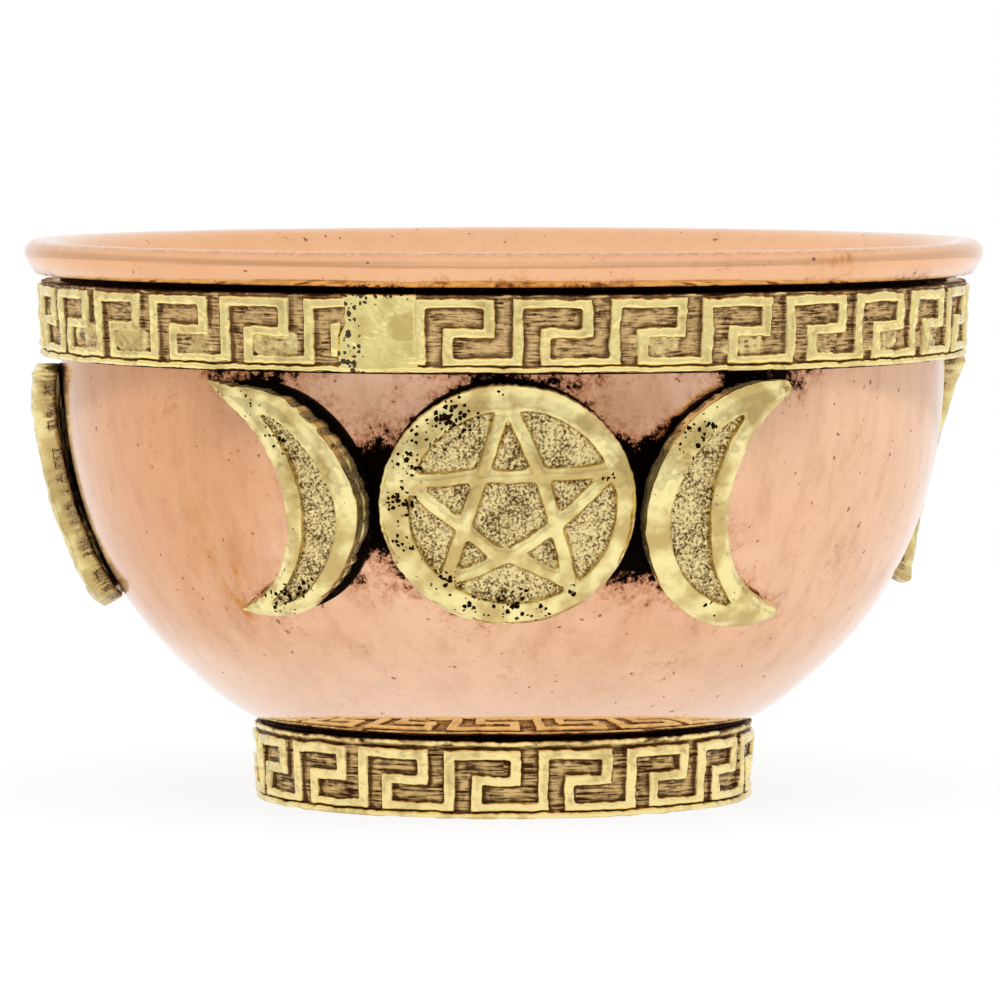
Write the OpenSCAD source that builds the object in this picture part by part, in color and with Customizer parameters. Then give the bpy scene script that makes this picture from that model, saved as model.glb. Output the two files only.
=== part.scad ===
// Offering bowl: a spun copper bowl on a cast brass foot ring. A cast key band runs round it
// under the rim, and three groups of castings, each a pentacle disc between two crescents,
// are bent to the wall and soldered on. Every strip is a straight casting bent to a ring,
// with its butt joint flooded with braze.
// Millimetres, +Z up. The origin is the middle of the foot's resting face, the front is -Y.

/* [Copper bowl] */
// Outer diameter of the upright wall
wall_d = 70.34; // [66:0.02:76]
// Thickness of the copper sheet
wall_t = 0.8; // [0.5:0.05:1.1]
// Height of the copper bowl by itself, from its underside to the top of the rim
bowl_h = 41.25; // [40:0.05:46]
// Height of the upright wall and the rim together, above the belly
upright_h = 6.87; // [6:0.01:9]
// Fullness of the belly: 2 is an ellipse, more is squarer
belly_power = 2.44; // [2.2:0.01:2.8]
// How far the rolled rim stands out past the wall
rim_overhang = 2.93; // [2.5:0.01:4]
// Radius of the rolled edge
rim_roll_r = 0.95; // [0.7:0.01:1.1]
// Height of the lip, from the top to the corner of its underside
lip_h = 2.55; // [2.3:0.01:2.7]
// How far the corner of the lip's underside lies inside the rim's edge
lip_inset = 1.5; // [1.3:0.01:1.8]
// How far below the top the lip leaves the wall
lip_root_drop = 3.05; // [2.8:0.01:3.1]

/* [Key strip] */
// Length of one key along the strip's face
key_pitch = 7.47; // [6.8:0.01:8.5]
// Height of the key, from its bottom bar to its top bar
key_h = 4.95; // [4.6:0.01:5.2]
// Width of the upright bars
upright_w = 0.85; // [0.6:0.01:1]
// Height of the level bars
level_bar_h = 0.75; // [0.5:0.01:0.9]
// Gap between the long upright and the inner pair of uprights
key_gap = 1.3; // [1.1:0.01:1.6]
// Thickness of the strip behind the key
strip_t = 1.25; // [0.9:0.01:1.5]
// How far the key stands proud of the strip
key_relief = 0.5; // [0.3:0.01:0.7]
// How far each strip leans in from its top edge to its bottom edge
strip_lean = 0.3; // [0.1:0.01:0.4]
// Half the gap left at the butt joint of a strip
butt_gap = 0.6; // [0.3:0.01:1]
// How far the braze stays below the key's face
braze_sink = 0.08; // [0.04:0.01:0.15]

/* [Key band] */
// Height of the band
band_h = 5.9; // [5.7:0.01:6.2]
// Clear height between the band and the lip's root
band_to_lip = 0.15; // [0.05:0.01:0.4]
// Height of the plain ledge under the band's key
band_ledge_h = 0.55; // [0.3:0.01:0.7]
// Thickness of the solder between the wall and the band
band_solder_t = 0.18; // [0.1:0.01:0.3]
// How far that solder shows under the band
band_solder_show = 0.15; // [0.05:0.01:0.3]
// Where the band's butt joint lies, in degrees from the front towards +X
band_joint_at = -16.7; // [-40:0.1:40]

/* [Foot ring] */
// Height of the foot ring
foot_h = 6.1; // [5.9:0.01:7]
// Radius of the foot ring's bore
foot_bore_r = 18.35; // [17:0.05:20]
// Height of the plain ledge under the foot's key
foot_ledge_h = 0.25; // [0.2:0.01:0.5]
// Where the foot's butt joint lies, in degrees from the front towards +X
foot_joint_at = 189; // [150:0.1:210]
// Thickness of the solder between the foot's inner top corner and the bowl
foot_solder_t = 0.12; // [0.06:0.01:0.3]
// Radius of the bead of solder along the foot's inner top corner
foot_solder_r = 1.1; // [0.8:0.01:1.4]

/* [Castings] */
// Thickness of a casting
casting_t = 2.05; // [1.6:0.01:2.4]
// Depth of the stippled fields
field_depth = 0.6; // [0.3:0.01:0.8]
// Room left between the band and the castings
casting_to_band = 0.2; // [0.1:0.01:1]
// Clear gap between a disc and the crescents beside it
crescent_gap = 1.45; // [1:0.01:2.5]
// Solder between the wall and a casting
casting_solder_t = 0.4; // [0.3:0.01:0.6]
// How far the solder stays inside a casting's edge
solder_inset = 0.25; // [0.15:0.01:0.4]
// Shares of the free arc round the bowl that lie left and right of the front group
group_gap_shares = [0.38, 0.52];

/* [Pentacle disc] */
// Diameter of the disc
disc_d = 19.4; // [17:0.05:19.8]
// Width of the disc's border
disc_border_w = 1.35; // [1:0.01:1.8]
// Width of the star's ridges
star_ridge_w = 1.2; // [0.8:0.01:1.5]
// How far inside the disc's edge the star's points lie, by the middle of its ridges
star_inset = 1.3; // [1.1:0.01:2]

/* [Crescent] */
// How much smaller the convex edge's radius is than the disc's
crescent_less = 0.3; // [0:0.01:1]
// How much larger the concave edge's radius is than the convex edge's
hollow_more = 0.25; // [0:0.01:1.5]
// Width of the crescent at its middle
crescent_w = 6.1; // [5.4:0.01:6.6]
// Border left along the convex edge
convex_border_w = 1.45; // [1:0.01:1.6]
// Border left along the concave edge
concave_border_w = 1.15; // [0.9:0.01:1.3]
// How far the horns reach back past the middle of the convex edge's circle
horn_reach = 2.2; // [1.4:0.01:2.3]

/* [Hidden] */

$fn = 96;

// Clearance left between two pieces that touch
seat_gap = 0.02;
// How far a cutter runs past what it cuts
overrun = 1;

// Places of the castings in a group
LEFT_HAND = -1;
MIDDLE = 0;
RIGHT_HAND = 1;

// Steps along the belly's curve and along each arc of the lip
belly_steps = 26;
lip_steps = 10;
// How far below level the rolled edge turns before the lip's flat underside
roll_tuck_angle = 45;
// Points of the star, and half the angle at each point
star_points = 5;
star_half_angle = 90 / star_points;

wall_r = wall_d / 2;
rim_r = wall_r + rim_overhang;
belly_h = bowl_h - upright_h;

// Height of the belly's outer face above its underside, at radius r
function belly_rise(r) = belly_h * (1 - pow(1 - pow(r / wall_r, belly_power), 1 / belly_power));

// The haunch of the bowl seats in solder on the inner top corner of the foot ring
bowl_z = foot_h + foot_solder_t - belly_rise(foot_bore_r);
turn_z = bowl_z + belly_h;
rim_z = bowl_z + bowl_h;
lip_root_z = rim_z - lip_root_drop;

band_top_z = lip_root_z - band_to_lip;
band_z = band_top_z - band_h;
band_bore_r = wall_r + band_solder_t;
foot_face_r = foot_bore_r + strip_t + key_relief;
band_face_r = band_bore_r + strip_t + key_relief;

// Outer face of the belly at height z, which stands upright above turn_z
function wall_face_r(z) =
    z >= turn_z ? wall_r
    : wall_r * pow(1 - pow((turn_z - z) / belly_h, belly_power), 1 / belly_power);

disc_r = disc_d / 2;
star_r = disc_r - star_inset;
crescent_r = disc_r - crescent_less;
crescent_hollow_r = crescent_r + hollow_more;

// The castings lie square to a sphere about the axis that meets the wall at two heights
casting_z = band_z - casting_to_band - disc_r;
seat_low_z = casting_z - crescent_r;
seat_high_z = casting_z + crescent_r;
seat_low_r = wall_face_r(seat_low_z);
seat_high_r = wall_face_r(seat_high_z);
sphere_z = (pow(seat_high_r, 2) + pow(seat_high_z, 2) - pow(seat_low_r, 2) - pow(seat_low_z, 2))
    / (2 * (seat_high_z - seat_low_z));
wall_sphere_r = norm([seat_low_r, seat_low_z - sphere_z]);
casting_tilt = asin((sphere_z - casting_z) / wall_sphere_r);

// How far the castings' faces stand out from the wall
casting_stand = casting_solder_t + casting_t;
// Radius of the circle that the castings' middles go round, on their faces
face_girth_r = wall_face_r(casting_z) + casting_stand * cos(casting_tilt);
crescent_step = asin(disc_r / face_girth_r) + asin(crescent_r / face_girth_r)
    + crescent_gap / face_girth_r * 180 / PI;

// Three groups go round the bowl. Each is given as its place in degrees from the front towards
// +X, and how far its left crescent, its disc and its right crescent are turned by hand
GROUP_COUNT = 3;
group_angle = 2 * (crescent_step + asin(crescent_r / face_girth_r));
free_angle = 360 - GROUP_COUNT * group_angle;
front_angle = 0.4;
FRONT_GROUP = [front_angle, [1.5, 3.5, 5.5]];
LEFT_GROUP = [front_angle - group_angle - group_gap_shares[0] * free_angle, [-2, -4, 1.5]];
RIGHT_GROUP = [front_angle + group_angle + group_gap_shares[1] * free_angle, [2.5, 2, -3]];

// Distance between the centres of a crescent's two circles
crescent_shift = crescent_hollow_r + crescent_w - crescent_r;

function arc_angle(length, r) = length / r * 180 / PI;

// Points along an arc, up to but not including its end
function arc(centre, r, from, to) = [
    for (i = [0 : lip_steps - 1])
        let (a = from + (to - from) * i / lip_steps)
        centre + r * [cos(a), sin(a)]
];

// One side of the belly as [radius, height] points from the axis up to the wall, drawn in by inset
function belly_curve(inset) = [
    for (i = [0 : belly_steps])
        let (a = 90 * i / belly_steps,
             shape = 2 / belly_power)
        [(wall_r - inset) * pow(sin(a), shape), turn_z - (belly_h - inset) * pow(cos(a), shape)]
];

function reversed(points) = [for (i = [len(points) - 1 : -1 : 0]) points[i]];

// Solid filling the bowl's outer face up to height top, grown by clearance, for fitting others to
module belly_plug(top, clearance) {
    rotate_extrude()
        polygon(concat([[0, top]], belly_curve(-clearance), [[wall_r + clearance, top]]));
}

module bowl() {
    roll_centre = [rim_r - rim_roll_r, rim_z - rim_roll_r];
    inner_r = wall_r - wall_t;
    flare_r = roll_centre[0] - inner_r;
    color([0.86, 0.55, 0.42])
        rotate_extrude()
            polygon(concat(
                belly_curve(0),
                [[wall_r, lip_root_z]],
                [[rim_r - lip_inset, rim_z - lip_h]],
                arc(roll_centre, rim_roll_r, -roll_tuck_angle, 90),
                arc([roll_centre[0], rim_z - flare_r], flare_r, 90, 180),
                [[inner_r, rim_z - flare_r]],
                reversed(belly_curve(wall_t))
            ));
}

// Tube that leans in by strip_lean from its top to its bottom
module leaning_tube(height, bore_r, face_r) {
    difference() {
        cylinder(h = height, r1 = face_r - strip_lean, r2 = face_r);
        translate([0, 0, -overrun])
            cylinder(h = height + 2 * overrun, r = bore_r);
    }
}

// One key as a flat outline, from the long upright's left side to the next long upright
module key_outline() {
    inner_left = upright_w + key_gap;
    inner_right = key_pitch - key_gap;
    middle_low = (key_h - level_bar_h) / 2;
    middle_high = middle_low + level_bar_h;
    polygon([
        [0, 0],
        [0, key_h],
        [inner_right, key_h],
        [inner_right, middle_low],
        [inner_left + upright_w, middle_low],
        [inner_left + upright_w, level_bar_h],
        [key_pitch + upright_w / 2, level_bar_h],
        [key_pitch + upright_w / 2, 0],
        [inner_left, 0],
        [inner_left, middle_high],
        [inner_right - upright_w, middle_high],
        [inner_right - upright_w, key_h - level_bar_h],
        [upright_w, key_h - level_bar_h],
        [upright_w, 0]
    ]);
}

// Wedge about the axis, open on the side that faces angle at, half_angle to each side
module wedge(at, half_angle, reach, height) {
    rotate([0, 0, at - 90 - half_angle])
        rotate_extrude(angle = 2 * half_angle)
            square([reach, height]);
}

// How many whole keys go round a strip, leaving about one key's length for the joint
function key_count(face_r) = round(2 * PI * face_r / key_pitch) - 1;
function joint_angle(face_r) = 360 - key_count(face_r) * arc_angle(key_pitch, face_r);

// Stands a flat outline upright and carries it out through a ring from bore to face, with the
// outline's middle towards angle at and its foot at height low
module upright_prism(at, width, low, bore_r, face_r) {
    start = sqrt(pow(bore_r, 2) - pow(width / 2, 2));
    rotate([0, 0, at])
        translate([-width / 2, -start, low])
            rotate([90, 0, 0])
                linear_extrude(face_r + overrun - start)
                    children();
}

// A key strip bent to a ring: the plain strip, open at its butt joint, with its keys
module key_ring(height, bore_r, face_r, ledge_h, joint_at) {
    step = arc_angle(key_pitch, face_r);
    half_joint = joint_angle(face_r) / 2;
    difference() {
        union() {
            leaning_tube(height, bore_r, face_r - key_relief);
            intersection() {
                leaning_tube(height, bore_r, face_r);
                union() {
                    for (i = [1 : key_count(face_r)])
                        upright_prism(
                            joint_at + half_joint + (i - 1 / 2) * step,
                            key_pitch + upright_w, ledge_h, bore_r, face_r
                        )
                            key_outline();
                    upright_prism(joint_at - half_joint, upright_w, ledge_h, bore_r, face_r)
                        square([upright_w, key_h]);
                    cylinder(h = ledge_h, r = face_r);
                }
            }
        }
        translate([0, 0, -overrun])
            wedge(joint_at, arc_angle(butt_gap, face_r), face_r + overrun, height + 2 * overrun);
    }
}

// Braze that fills a strip's butt joint and floods the unfinished key beside it
module joint_braze(height, bore_r, face_r, ledge_h, joint_at) {
    plug_half = arc_angle(butt_gap - seat_gap, face_r);
    flood_half = joint_angle(face_r) / 2 - arc_angle(upright_w / 2 + seat_gap, face_r);
    base_r = face_r - key_relief;
    intersection() {
        leaning_tube(height, bore_r, face_r - braze_sink);
        union() {
            wedge(joint_at, plug_half, face_r, height);
            difference() {
                translate([0, 0, ledge_h + seat_gap])
                    wedge(joint_at, flood_half, face_r, key_h);
                cylinder(h = height, r1 = base_r - strip_lean + seat_gap, r2 = base_r + seat_gap);
            }
        }
    }
}

module key_band() {
    color([0.82, 0.74, 0.40])
        translate([0, 0, band_z])
            key_ring(band_h, band_bore_r, band_face_r, band_ledge_h, band_joint_at);
}

module key_band_braze() {
    color([0.86, 0.80, 0.50])
        translate([0, 0, band_z])
            joint_braze(band_h, band_bore_r, band_face_r, band_ledge_h, band_joint_at);
}

module key_band_solder() {
    low_z = band_z - band_solder_show;
    color([0.25, 0.21, 0.19])
        difference() {
            translate([0, 0, low_z])
                cylinder(h = band_top_z - low_z, r = band_bore_r - seat_gap);
            belly_plug(rim_z, seat_gap);
        }
}

module foot_ring() {
    color([0.82, 0.74, 0.40])
        key_ring(foot_h, foot_bore_r, foot_face_r, foot_ledge_h, foot_joint_at);
}

module foot_ring_braze() {
    color([0.86, 0.80, 0.50])
        joint_braze(foot_h, foot_bore_r, foot_face_r, foot_ledge_h, foot_joint_at);
}

// Solder run into the corner between the haunch and the foot's inner top edge
module foot_solder() {
    color([0.25, 0.21, 0.19])
        difference() {
            rotate_extrude()
                translate([foot_bore_r, foot_h])
                    circle(foot_solder_r);
            belly_plug(turn_z, seat_gap);
            difference() {
                translate([0, 0, -overrun])
                    cylinder(h = foot_h + overrun + seat_gap, r = foot_face_r + overrun);
                translate([0, 0, -2 * overrun])
                    cylinder(h = foot_h + 4 * overrun, r = foot_bore_r - seat_gap);
            }
        }
}

// Carries a flat outline, with +Y up, from the bowl's axis out through the wall at its place
module outline_prism(group, hand) {
    translate([0, 0, sphere_z])
        rotate([0, 0, group[0] + hand * crescent_step])
            rotate([90 + casting_tilt, 0, 0])
                rotate([0, 0, group[1][hand - LEFT_HAND]])
                    linear_extrude(wall_r + casting_stand + overrun)
                        children();
}

// A casting bent to the wall: its first child is its outline, its second the fields cut in it
module casting(group, hand) {
    difference() {
        intersection() {
            outline_prism(group, hand)
                children(0);
            belly_plug(rim_z, casting_stand);
        }
        belly_plug(rim_z, casting_solder_t);
        difference() {
            outline_prism(group, hand)
                children(1);
            belly_plug(rim_z, casting_stand - field_depth);
        }
    }
}

module disc_outline(inset) {
    circle(disc_r - inset);
}

// The five ridges of the star, each from one point to the next but one
module star_outline() {
    ridge_length = 2 * star_r * cos(star_half_angle);
    for (i = [1 : star_points])
        rotate([0, 0, 90 + i * 360 / star_points])
            translate([star_r, 0])
                rotate([0, 0, 180 - star_half_angle])
                    translate([0, -star_ridge_w / 2])
                        square([ridge_length, star_ridge_w]);
}

// Crescent with its convex edge on the +X side; both edges drawn in, and the horns cut square
module crescent_outline(convex_inset, concave_inset) {
    intersection() {
        difference() {
            circle(crescent_r - convex_inset);
            translate([-crescent_shift, 0])
                circle(crescent_hollow_r + concave_inset);
        }
        translate([-horn_reach + convex_inset, -crescent_r])
            square([horn_reach + crescent_r, 2 * crescent_r]);
    }
}

module pentacle(group) {
    color([0.85, 0.78, 0.47])
        casting(group, MIDDLE) {
            disc_outline(0);
            difference() {
                disc_outline(disc_border_w);
                star_outline();
            }
        }
}

// The right-hand crescent is the left-hand one mirrored, so that both turn their backs to the disc
module handed(hand) {
    if (hand == LEFT_HAND) children();
    else mirror([1, 0, 0]) children();
}

module crescent(group, hand) {
    color([0.85, 0.78, 0.47])
        casting(group, hand) {
            handed(hand)
                crescent_outline(0, 0);
            handed(hand)
                crescent_outline(convex_border_w, concave_border_w);
        }
}

// Solder between the wall and a casting, a little smaller than the casting
module solder_bed(group, hand) {
    color([0.25, 0.21, 0.19])
        difference() {
            intersection() {
                outline_prism(group, hand)
                    handed(hand)
                        if (hand == MIDDLE) disc_outline(solder_inset);
                        else crescent_outline(solder_inset, solder_inset);
                belly_plug(rim_z, casting_solder_t - seat_gap);
            }
            belly_plug(rim_z, seat_gap);
        }
}

bowl();
key_band();
key_band_braze();
key_band_solder();
foot_ring();
foot_ring_braze();
foot_solder();

pentacle(FRONT_GROUP);  // pentacle_front
crescent(FRONT_GROUP, LEFT_HAND);  // crescent_front_left
crescent(FRONT_GROUP, RIGHT_HAND);  // crescent_front_right
pentacle(LEFT_GROUP);  // pentacle_left
crescent(LEFT_GROUP, LEFT_HAND);  // crescent_left_rear
crescent(LEFT_GROUP, RIGHT_HAND);  // crescent_left_fore
pentacle(RIGHT_GROUP);  // pentacle_right
crescent(RIGHT_GROUP, LEFT_HAND);  // crescent_right_fore
crescent(RIGHT_GROUP, RIGHT_HAND);  // crescent_right_rear

solder_bed(FRONT_GROUP, MIDDLE);  // solder_pentacle_front
solder_bed(FRONT_GROUP, LEFT_HAND);  // solder_crescent_front_left
solder_bed(FRONT_GROUP, RIGHT_HAND);  // solder_crescent_front_right
solder_bed(LEFT_GROUP, MIDDLE);  // solder_pentacle_left
solder_bed(LEFT_GROUP, LEFT_HAND);  // solder_crescent_left_rear
solder_bed(LEFT_GROUP, RIGHT_HAND);  // solder_crescent_left_fore
solder_bed(RIGHT_GROUP, MIDDLE);  // solder_pentacle_right
solder_bed(RIGHT_GROUP, LEFT_HAND);  // solder_crescent_right_fore
solder_bed(RIGHT_GROUP, RIGHT_HAND);  // solder_crescent_right_rear
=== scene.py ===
"""An offering bowl: spun copper, with a cast key band, a cast foot ring and nine soldered castings.

Everything is in metres, +Z up, with the front towards -Y and the foot resting on z = 0.
A place round the bowl is an angle in degrees from the front towards +X.
"""
import logging
import math
from contextlib import contextmanager
from dataclasses import dataclass, field
from enum import Enum
from typing import Any, Callable, Iterator

import bmesh
import bpy
import numpy as np
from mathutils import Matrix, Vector


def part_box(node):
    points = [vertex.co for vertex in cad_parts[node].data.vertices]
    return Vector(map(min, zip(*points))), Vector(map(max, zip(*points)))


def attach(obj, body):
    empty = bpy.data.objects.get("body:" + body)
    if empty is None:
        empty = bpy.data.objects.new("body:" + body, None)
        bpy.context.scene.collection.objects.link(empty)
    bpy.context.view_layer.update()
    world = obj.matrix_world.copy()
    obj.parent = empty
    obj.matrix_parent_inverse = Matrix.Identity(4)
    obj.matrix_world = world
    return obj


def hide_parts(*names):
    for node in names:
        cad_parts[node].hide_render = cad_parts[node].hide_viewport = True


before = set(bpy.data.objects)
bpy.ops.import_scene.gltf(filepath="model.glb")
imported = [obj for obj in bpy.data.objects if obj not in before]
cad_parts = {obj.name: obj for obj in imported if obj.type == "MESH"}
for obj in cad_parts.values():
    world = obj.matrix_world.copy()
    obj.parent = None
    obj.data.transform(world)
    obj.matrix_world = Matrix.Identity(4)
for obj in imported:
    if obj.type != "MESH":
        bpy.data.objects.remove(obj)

Piece = bpy.types.Object
Finish = bpy.types.Material
Tree = bpy.types.NodeTree
Socket = bpy.types.NodeSocket
Rows = np.ndarray
Place = tuple[float, float]
Bars = list[tuple[float, float, float, float]]

LOG = logging.getLogger("offering_bowl")
MM = 0.001
BODY = "root"
WELD = 0.002 * MM
CIRCLE_SIDES = 160
UPWARDS = (0, 0, 1)


def mm(*values: float) -> tuple[float, ...]:
    """Turn millimetres into metres."""
    return tuple(value * MM for value in values)


class Slot(Enum):
    """The record's material slots."""

    COPPER = "copper_sheet"
    BRASS = "cast_brass"
    BRAZE = "braze"
    SOLDER = "solder"


class Noise(Enum):
    """Kinds of unevenness that a surface can be given."""

    SOFT = "SOFT_NOISE"
    HARD = "HARD_NOISE"


@dataclass(frozen=True)
class Bumps:
    """One layer of unevenness: the width of a bump, and its height from lowest to highest.

    It moves a surface along its own direction, or along the one given, all over or within a
    vertex group.
    """

    size: float
    height: float
    direction: str = "NORMAL"
    group: str = ""
    noise: Noise = Noise.SOFT


# Mesh helpers


def take(piece: Piece) -> None:
    """Select one piece alone and make it the active one."""
    bpy.ops.object.select_all(action="DESELECT")
    piece.select_set(True)
    bpy.context.view_layer.objects.active = piece


@contextmanager
def bench(piece: Piece) -> Iterator[None]:
    """Hold a piece in edit mode with nothing on it selected."""
    take(piece)
    bpy.ops.object.mode_set(mode="EDIT")
    bpy.ops.mesh.select_mode(type="VERT")
    bpy.ops.mesh.select_all(action="DESELECT")
    yield
    bpy.ops.object.mode_set(mode="OBJECT")


def pick(piece: Piece, kind: str, wanted: Callable[..., bool]) -> None:
    """Select the faces or edges of a piece on the bench that pass a test.

    Args:
        piece: The object in edit mode.
        kind: FACE or EDGE.
        wanted: The test on a face's middle, or on an edge's two ends.
    """
    bpy.ops.mesh.select_mode(type=kind)
    bpy.ops.mesh.select_all(action="DESELECT")
    mesh = bmesh.from_edit_mesh(piece.data)
    if kind == "FACE":
        for face in mesh.faces:
            face.select_set(wanted(face.calc_center_median()))
    else:
        for edge in mesh.edges:
            edge.select_set(wanted(edge.verts[0].co, edge.verts[1].co))
    bmesh.update_edit_mesh(piece.data)


def push_out(step: tuple[float, float, float]) -> None:
    """Extrude what is selected on the bench by a step."""
    bpy.ops.mesh.extrude_region_move(TRANSFORM_OT_translate={"value": step})


def weld(piece: Piece) -> None:
    """Make one of the points of a piece that lie on one another."""
    with bench(piece):
        bpy.ops.mesh.select_all(action="SELECT")
        bpy.ops.mesh.remove_doubles(threshold=WELD)


def finish_modifier(piece: Piece, kind: str, **settings: Any) -> None:
    """Add a modifier to a piece and apply it.

    Args:
        piece: The object to change.
        kind: The modifier's type.
        **settings: The modifier's settings by name.
    """
    take(piece)
    modifier = piece.modifiers.new("step", kind)
    for name, value in settings.items():
        setattr(modifier, name, value)
    bpy.ops.object.modifier_apply(modifier="step")


def roughen(piece: Piece, layers: tuple[Bumps, ...]) -> None:
    """Make a surface uneven, one layer after another."""
    for layer in layers:
        texture = bpy.data.textures.new("uneven", "CLOUDS")
        texture.noise_scale = layer.size
        texture.noise_type = layer.noise.value
        texture.noise_depth = 2
        finish_modifier(
            piece, "DISPLACE", texture=texture, texture_coords="LOCAL", mid_level=0.5,
            strength=layer.height, direction=layer.direction, vertex_group=layer.group,
        )
        bpy.data.textures.remove(texture)


def points_of(piece: Piece) -> Rows:
    """Read a piece's points as rows of x, y and z."""
    flat = np.empty(len(piece.data.vertices) * 3)
    piece.data.vertices.foreach_get("co", flat)
    return flat.reshape(-1, 3)


def put_points(piece: Piece, points: Rows) -> None:
    """Move a piece's points to new rows of x, y and z."""
    piece.data.vertices.foreach_set("co", points.ravel())
    piece.data.update()


def note(piece: Piece, name: str, values: Rows) -> None:
    """Store a number for each point, under a name that the finishes read."""
    attribute = piece.data.attributes.new(name, "FLOAT", "POINT")
    attribute.data.foreach_set("value", values.astype(np.float32))


def normals_of(piece: Piece) -> Rows:
    """Read the directions that a piece's points face."""
    flat = np.empty(len(piece.data.vertices) * 3)
    piece.data.vertex_normals.foreach_get("vector", flat)
    return flat.reshape(-1, 3)


def keep_within(piece: Piece, node: str) -> None:
    """Press a round piece back inside the height and radius of the solid that it replaces."""
    low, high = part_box(node)
    points = points_of(piece)
    reach = np.hypot(points[:, 0], points[:, 1])
    limit_radius = min(high.x, high.y) - 0.005 * MM
    points[:, :2] *= np.minimum(1, limit_radius / np.maximum(reach, WELD))[:, None]
    points[:, 2] = np.clip(points[:, 2], low.z, high.z)
    put_points(piece, points)


def blurred(piece: Piece, values: Rows, passes: int) -> Rows:
    """Average numbers over neighbouring points.

    Args:
        piece: The object whose edges join the points.
        values: One number for each point.
        passes: How many times to average.

    Returns:
        The averaged numbers.
    """
    ends = np.empty(len(piece.data.edges) * 2, dtype=np.int64)
    piece.data.edges.foreach_get("vertices", ends)
    first, second = ends[::2], ends[1::2]
    count = np.bincount(ends, minlength=len(values)) + 1.0
    for _ in range(passes):
        total = values + np.bincount(first, values[second], len(values))
        total += np.bincount(second, values[first], len(values))
        values = total / count
    return values


def smooth_step(values: Rows | float, low: float, high: float) -> Rows:
    """Turn numbers into a share from 0 at low to 1 at high, eased at both ends."""
    share = np.clip((values - low) / (high - low), 0, 1)
    return share * share * (3 - 2 * share)


def limit(piece: Piece, name: str, weights: Rows) -> None:
    """Give a piece a vertex group with a weight for each point, rounded to tenths."""
    group = piece.vertex_groups.new(name=name)
    tenths = np.round(weights * 10).astype(int)
    for tenth in range(1, 11):
        group.add(np.flatnonzero(tenths == tenth).tolist(), tenth / 10, "REPLACE")


def shade(piece: Piece) -> None:
    """Face a closed piece outwards and shade it smooth."""
    with bench(piece):
        bpy.ops.mesh.select_all(action="SELECT")
        bpy.ops.mesh.normals_make_consistent(inside=False)
    bpy.ops.object.shade_smooth()


def join(pieces: list[Piece]) -> Piece:
    """Join pieces into the first of them and return it."""
    take(pieces[0])
    for piece in pieces:
        piece.select_set(True)
    bpy.ops.object.join()
    return pieces[0]


def cut(piece: Piece, cutter: Piece) -> None:
    """Cut one piece out of another and throw the cutter away."""
    finish_modifier(piece, "BOOLEAN", operation="DIFFERENCE", object=cutter, solver="EXACT")
    bpy.data.objects.remove(cutter)


def settle(piece: Piece) -> Piece:
    """Put a piece's place, turn and scale into its mesh and return it."""
    take(piece)
    bpy.ops.object.transform_apply(location=True, rotation=True, scale=True)
    return piece


def cylinder(radius: float, middle: Place, low: float, high: float) -> Piece:
    """Stand up a cylinder with its lower and upper ends at two heights."""
    bpy.ops.mesh.primitive_cylinder_add(
        vertices=CIRCLE_SIDES, radius=radius, depth=high - low,
        location=(*middle, (low + high) / 2),
    )
    return settle(bpy.context.object)


def grid(left: float, right: float, height: float, columns: int, rows: int) -> Piece:
    """Lay down a flat grid of faces along X, with its height along +Y."""
    bpy.ops.mesh.primitive_grid_add(x_subdivisions=columns, y_subdivisions=rows, size=1)
    piece = bpy.context.object
    piece.scale = (right - left, height, 1)
    piece.location = ((left + right) / 2, height / 2, 0)
    return settle(piece)


def thicken(piece: Piece, depth: float) -> None:
    """Close a sheet into a plate by drawing its open edges down and filling its back."""
    with bench(piece):
        bpy.ops.mesh.select_mode(type="EDGE")
        bpy.ops.mesh.select_non_manifold()
        bpy.ops.mesh.extrude_edges_move(TRANSFORM_OT_translate={"value": (0, 0, -depth)})
        bpy.ops.mesh.edge_face_add()
        bpy.ops.mesh.select_all(action="SELECT")
        bpy.ops.mesh.quads_convert_to_tris()


def between(start: Place, end: Place, shares: tuple[float, ...]) -> list[Place]:
    """List the places at some shares of the way from one place to another."""
    across, up = end[0] - start[0], end[1] - start[1]
    return [(start[0] + across * share, start[1] + up * share) for share in shares]


def spun(section: list[Place], steps: int) -> Piece:
    """Spin a section round the upright axis.

    Args:
        section: Its places as radius and height. It ends on the axis or where it begins.
        steps: How many steps the turn has.

    Returns:
        The closed piece.
    """
    bpy.ops.mesh.primitive_plane_add(size=MM)
    piece = bpy.context.object
    with bench(piece):
        bpy.ops.mesh.select_all(action="SELECT")
        bpy.ops.mesh.merge(type="CENTER")
        bpy.ops.transform.translate(value=(section[0][0], 0, section[0][1]))
        for here, there in zip(section, section[1:]):
            push_out((there[0] - here[0], 0, there[1] - here[1]))
        bpy.ops.mesh.select_all(action="SELECT")
        bpy.ops.mesh.spin(steps=steps, angle=2 * math.pi, center=(0, 0, 0), axis=UPWARDS)
    weld(piece)
    return piece


def hand_over(piece: Piece, name: str, finish: Finish, node: str) -> None:
    """Name a finished piece, give it its material and set it in the frame.

    Args:
        piece: The finished object.
        name: Its name.
        finish: Its material.
        node: The solid that it stands for.
    """
    piece.name = name
    piece.data.name = name
    piece.data.materials.clear()
    piece.data.materials.append(finish)
    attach(piece, BODY)
    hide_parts(node)
    LOG.info("%s: %d faces", name, len(piece.data.polygons))


# Node helpers


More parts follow.
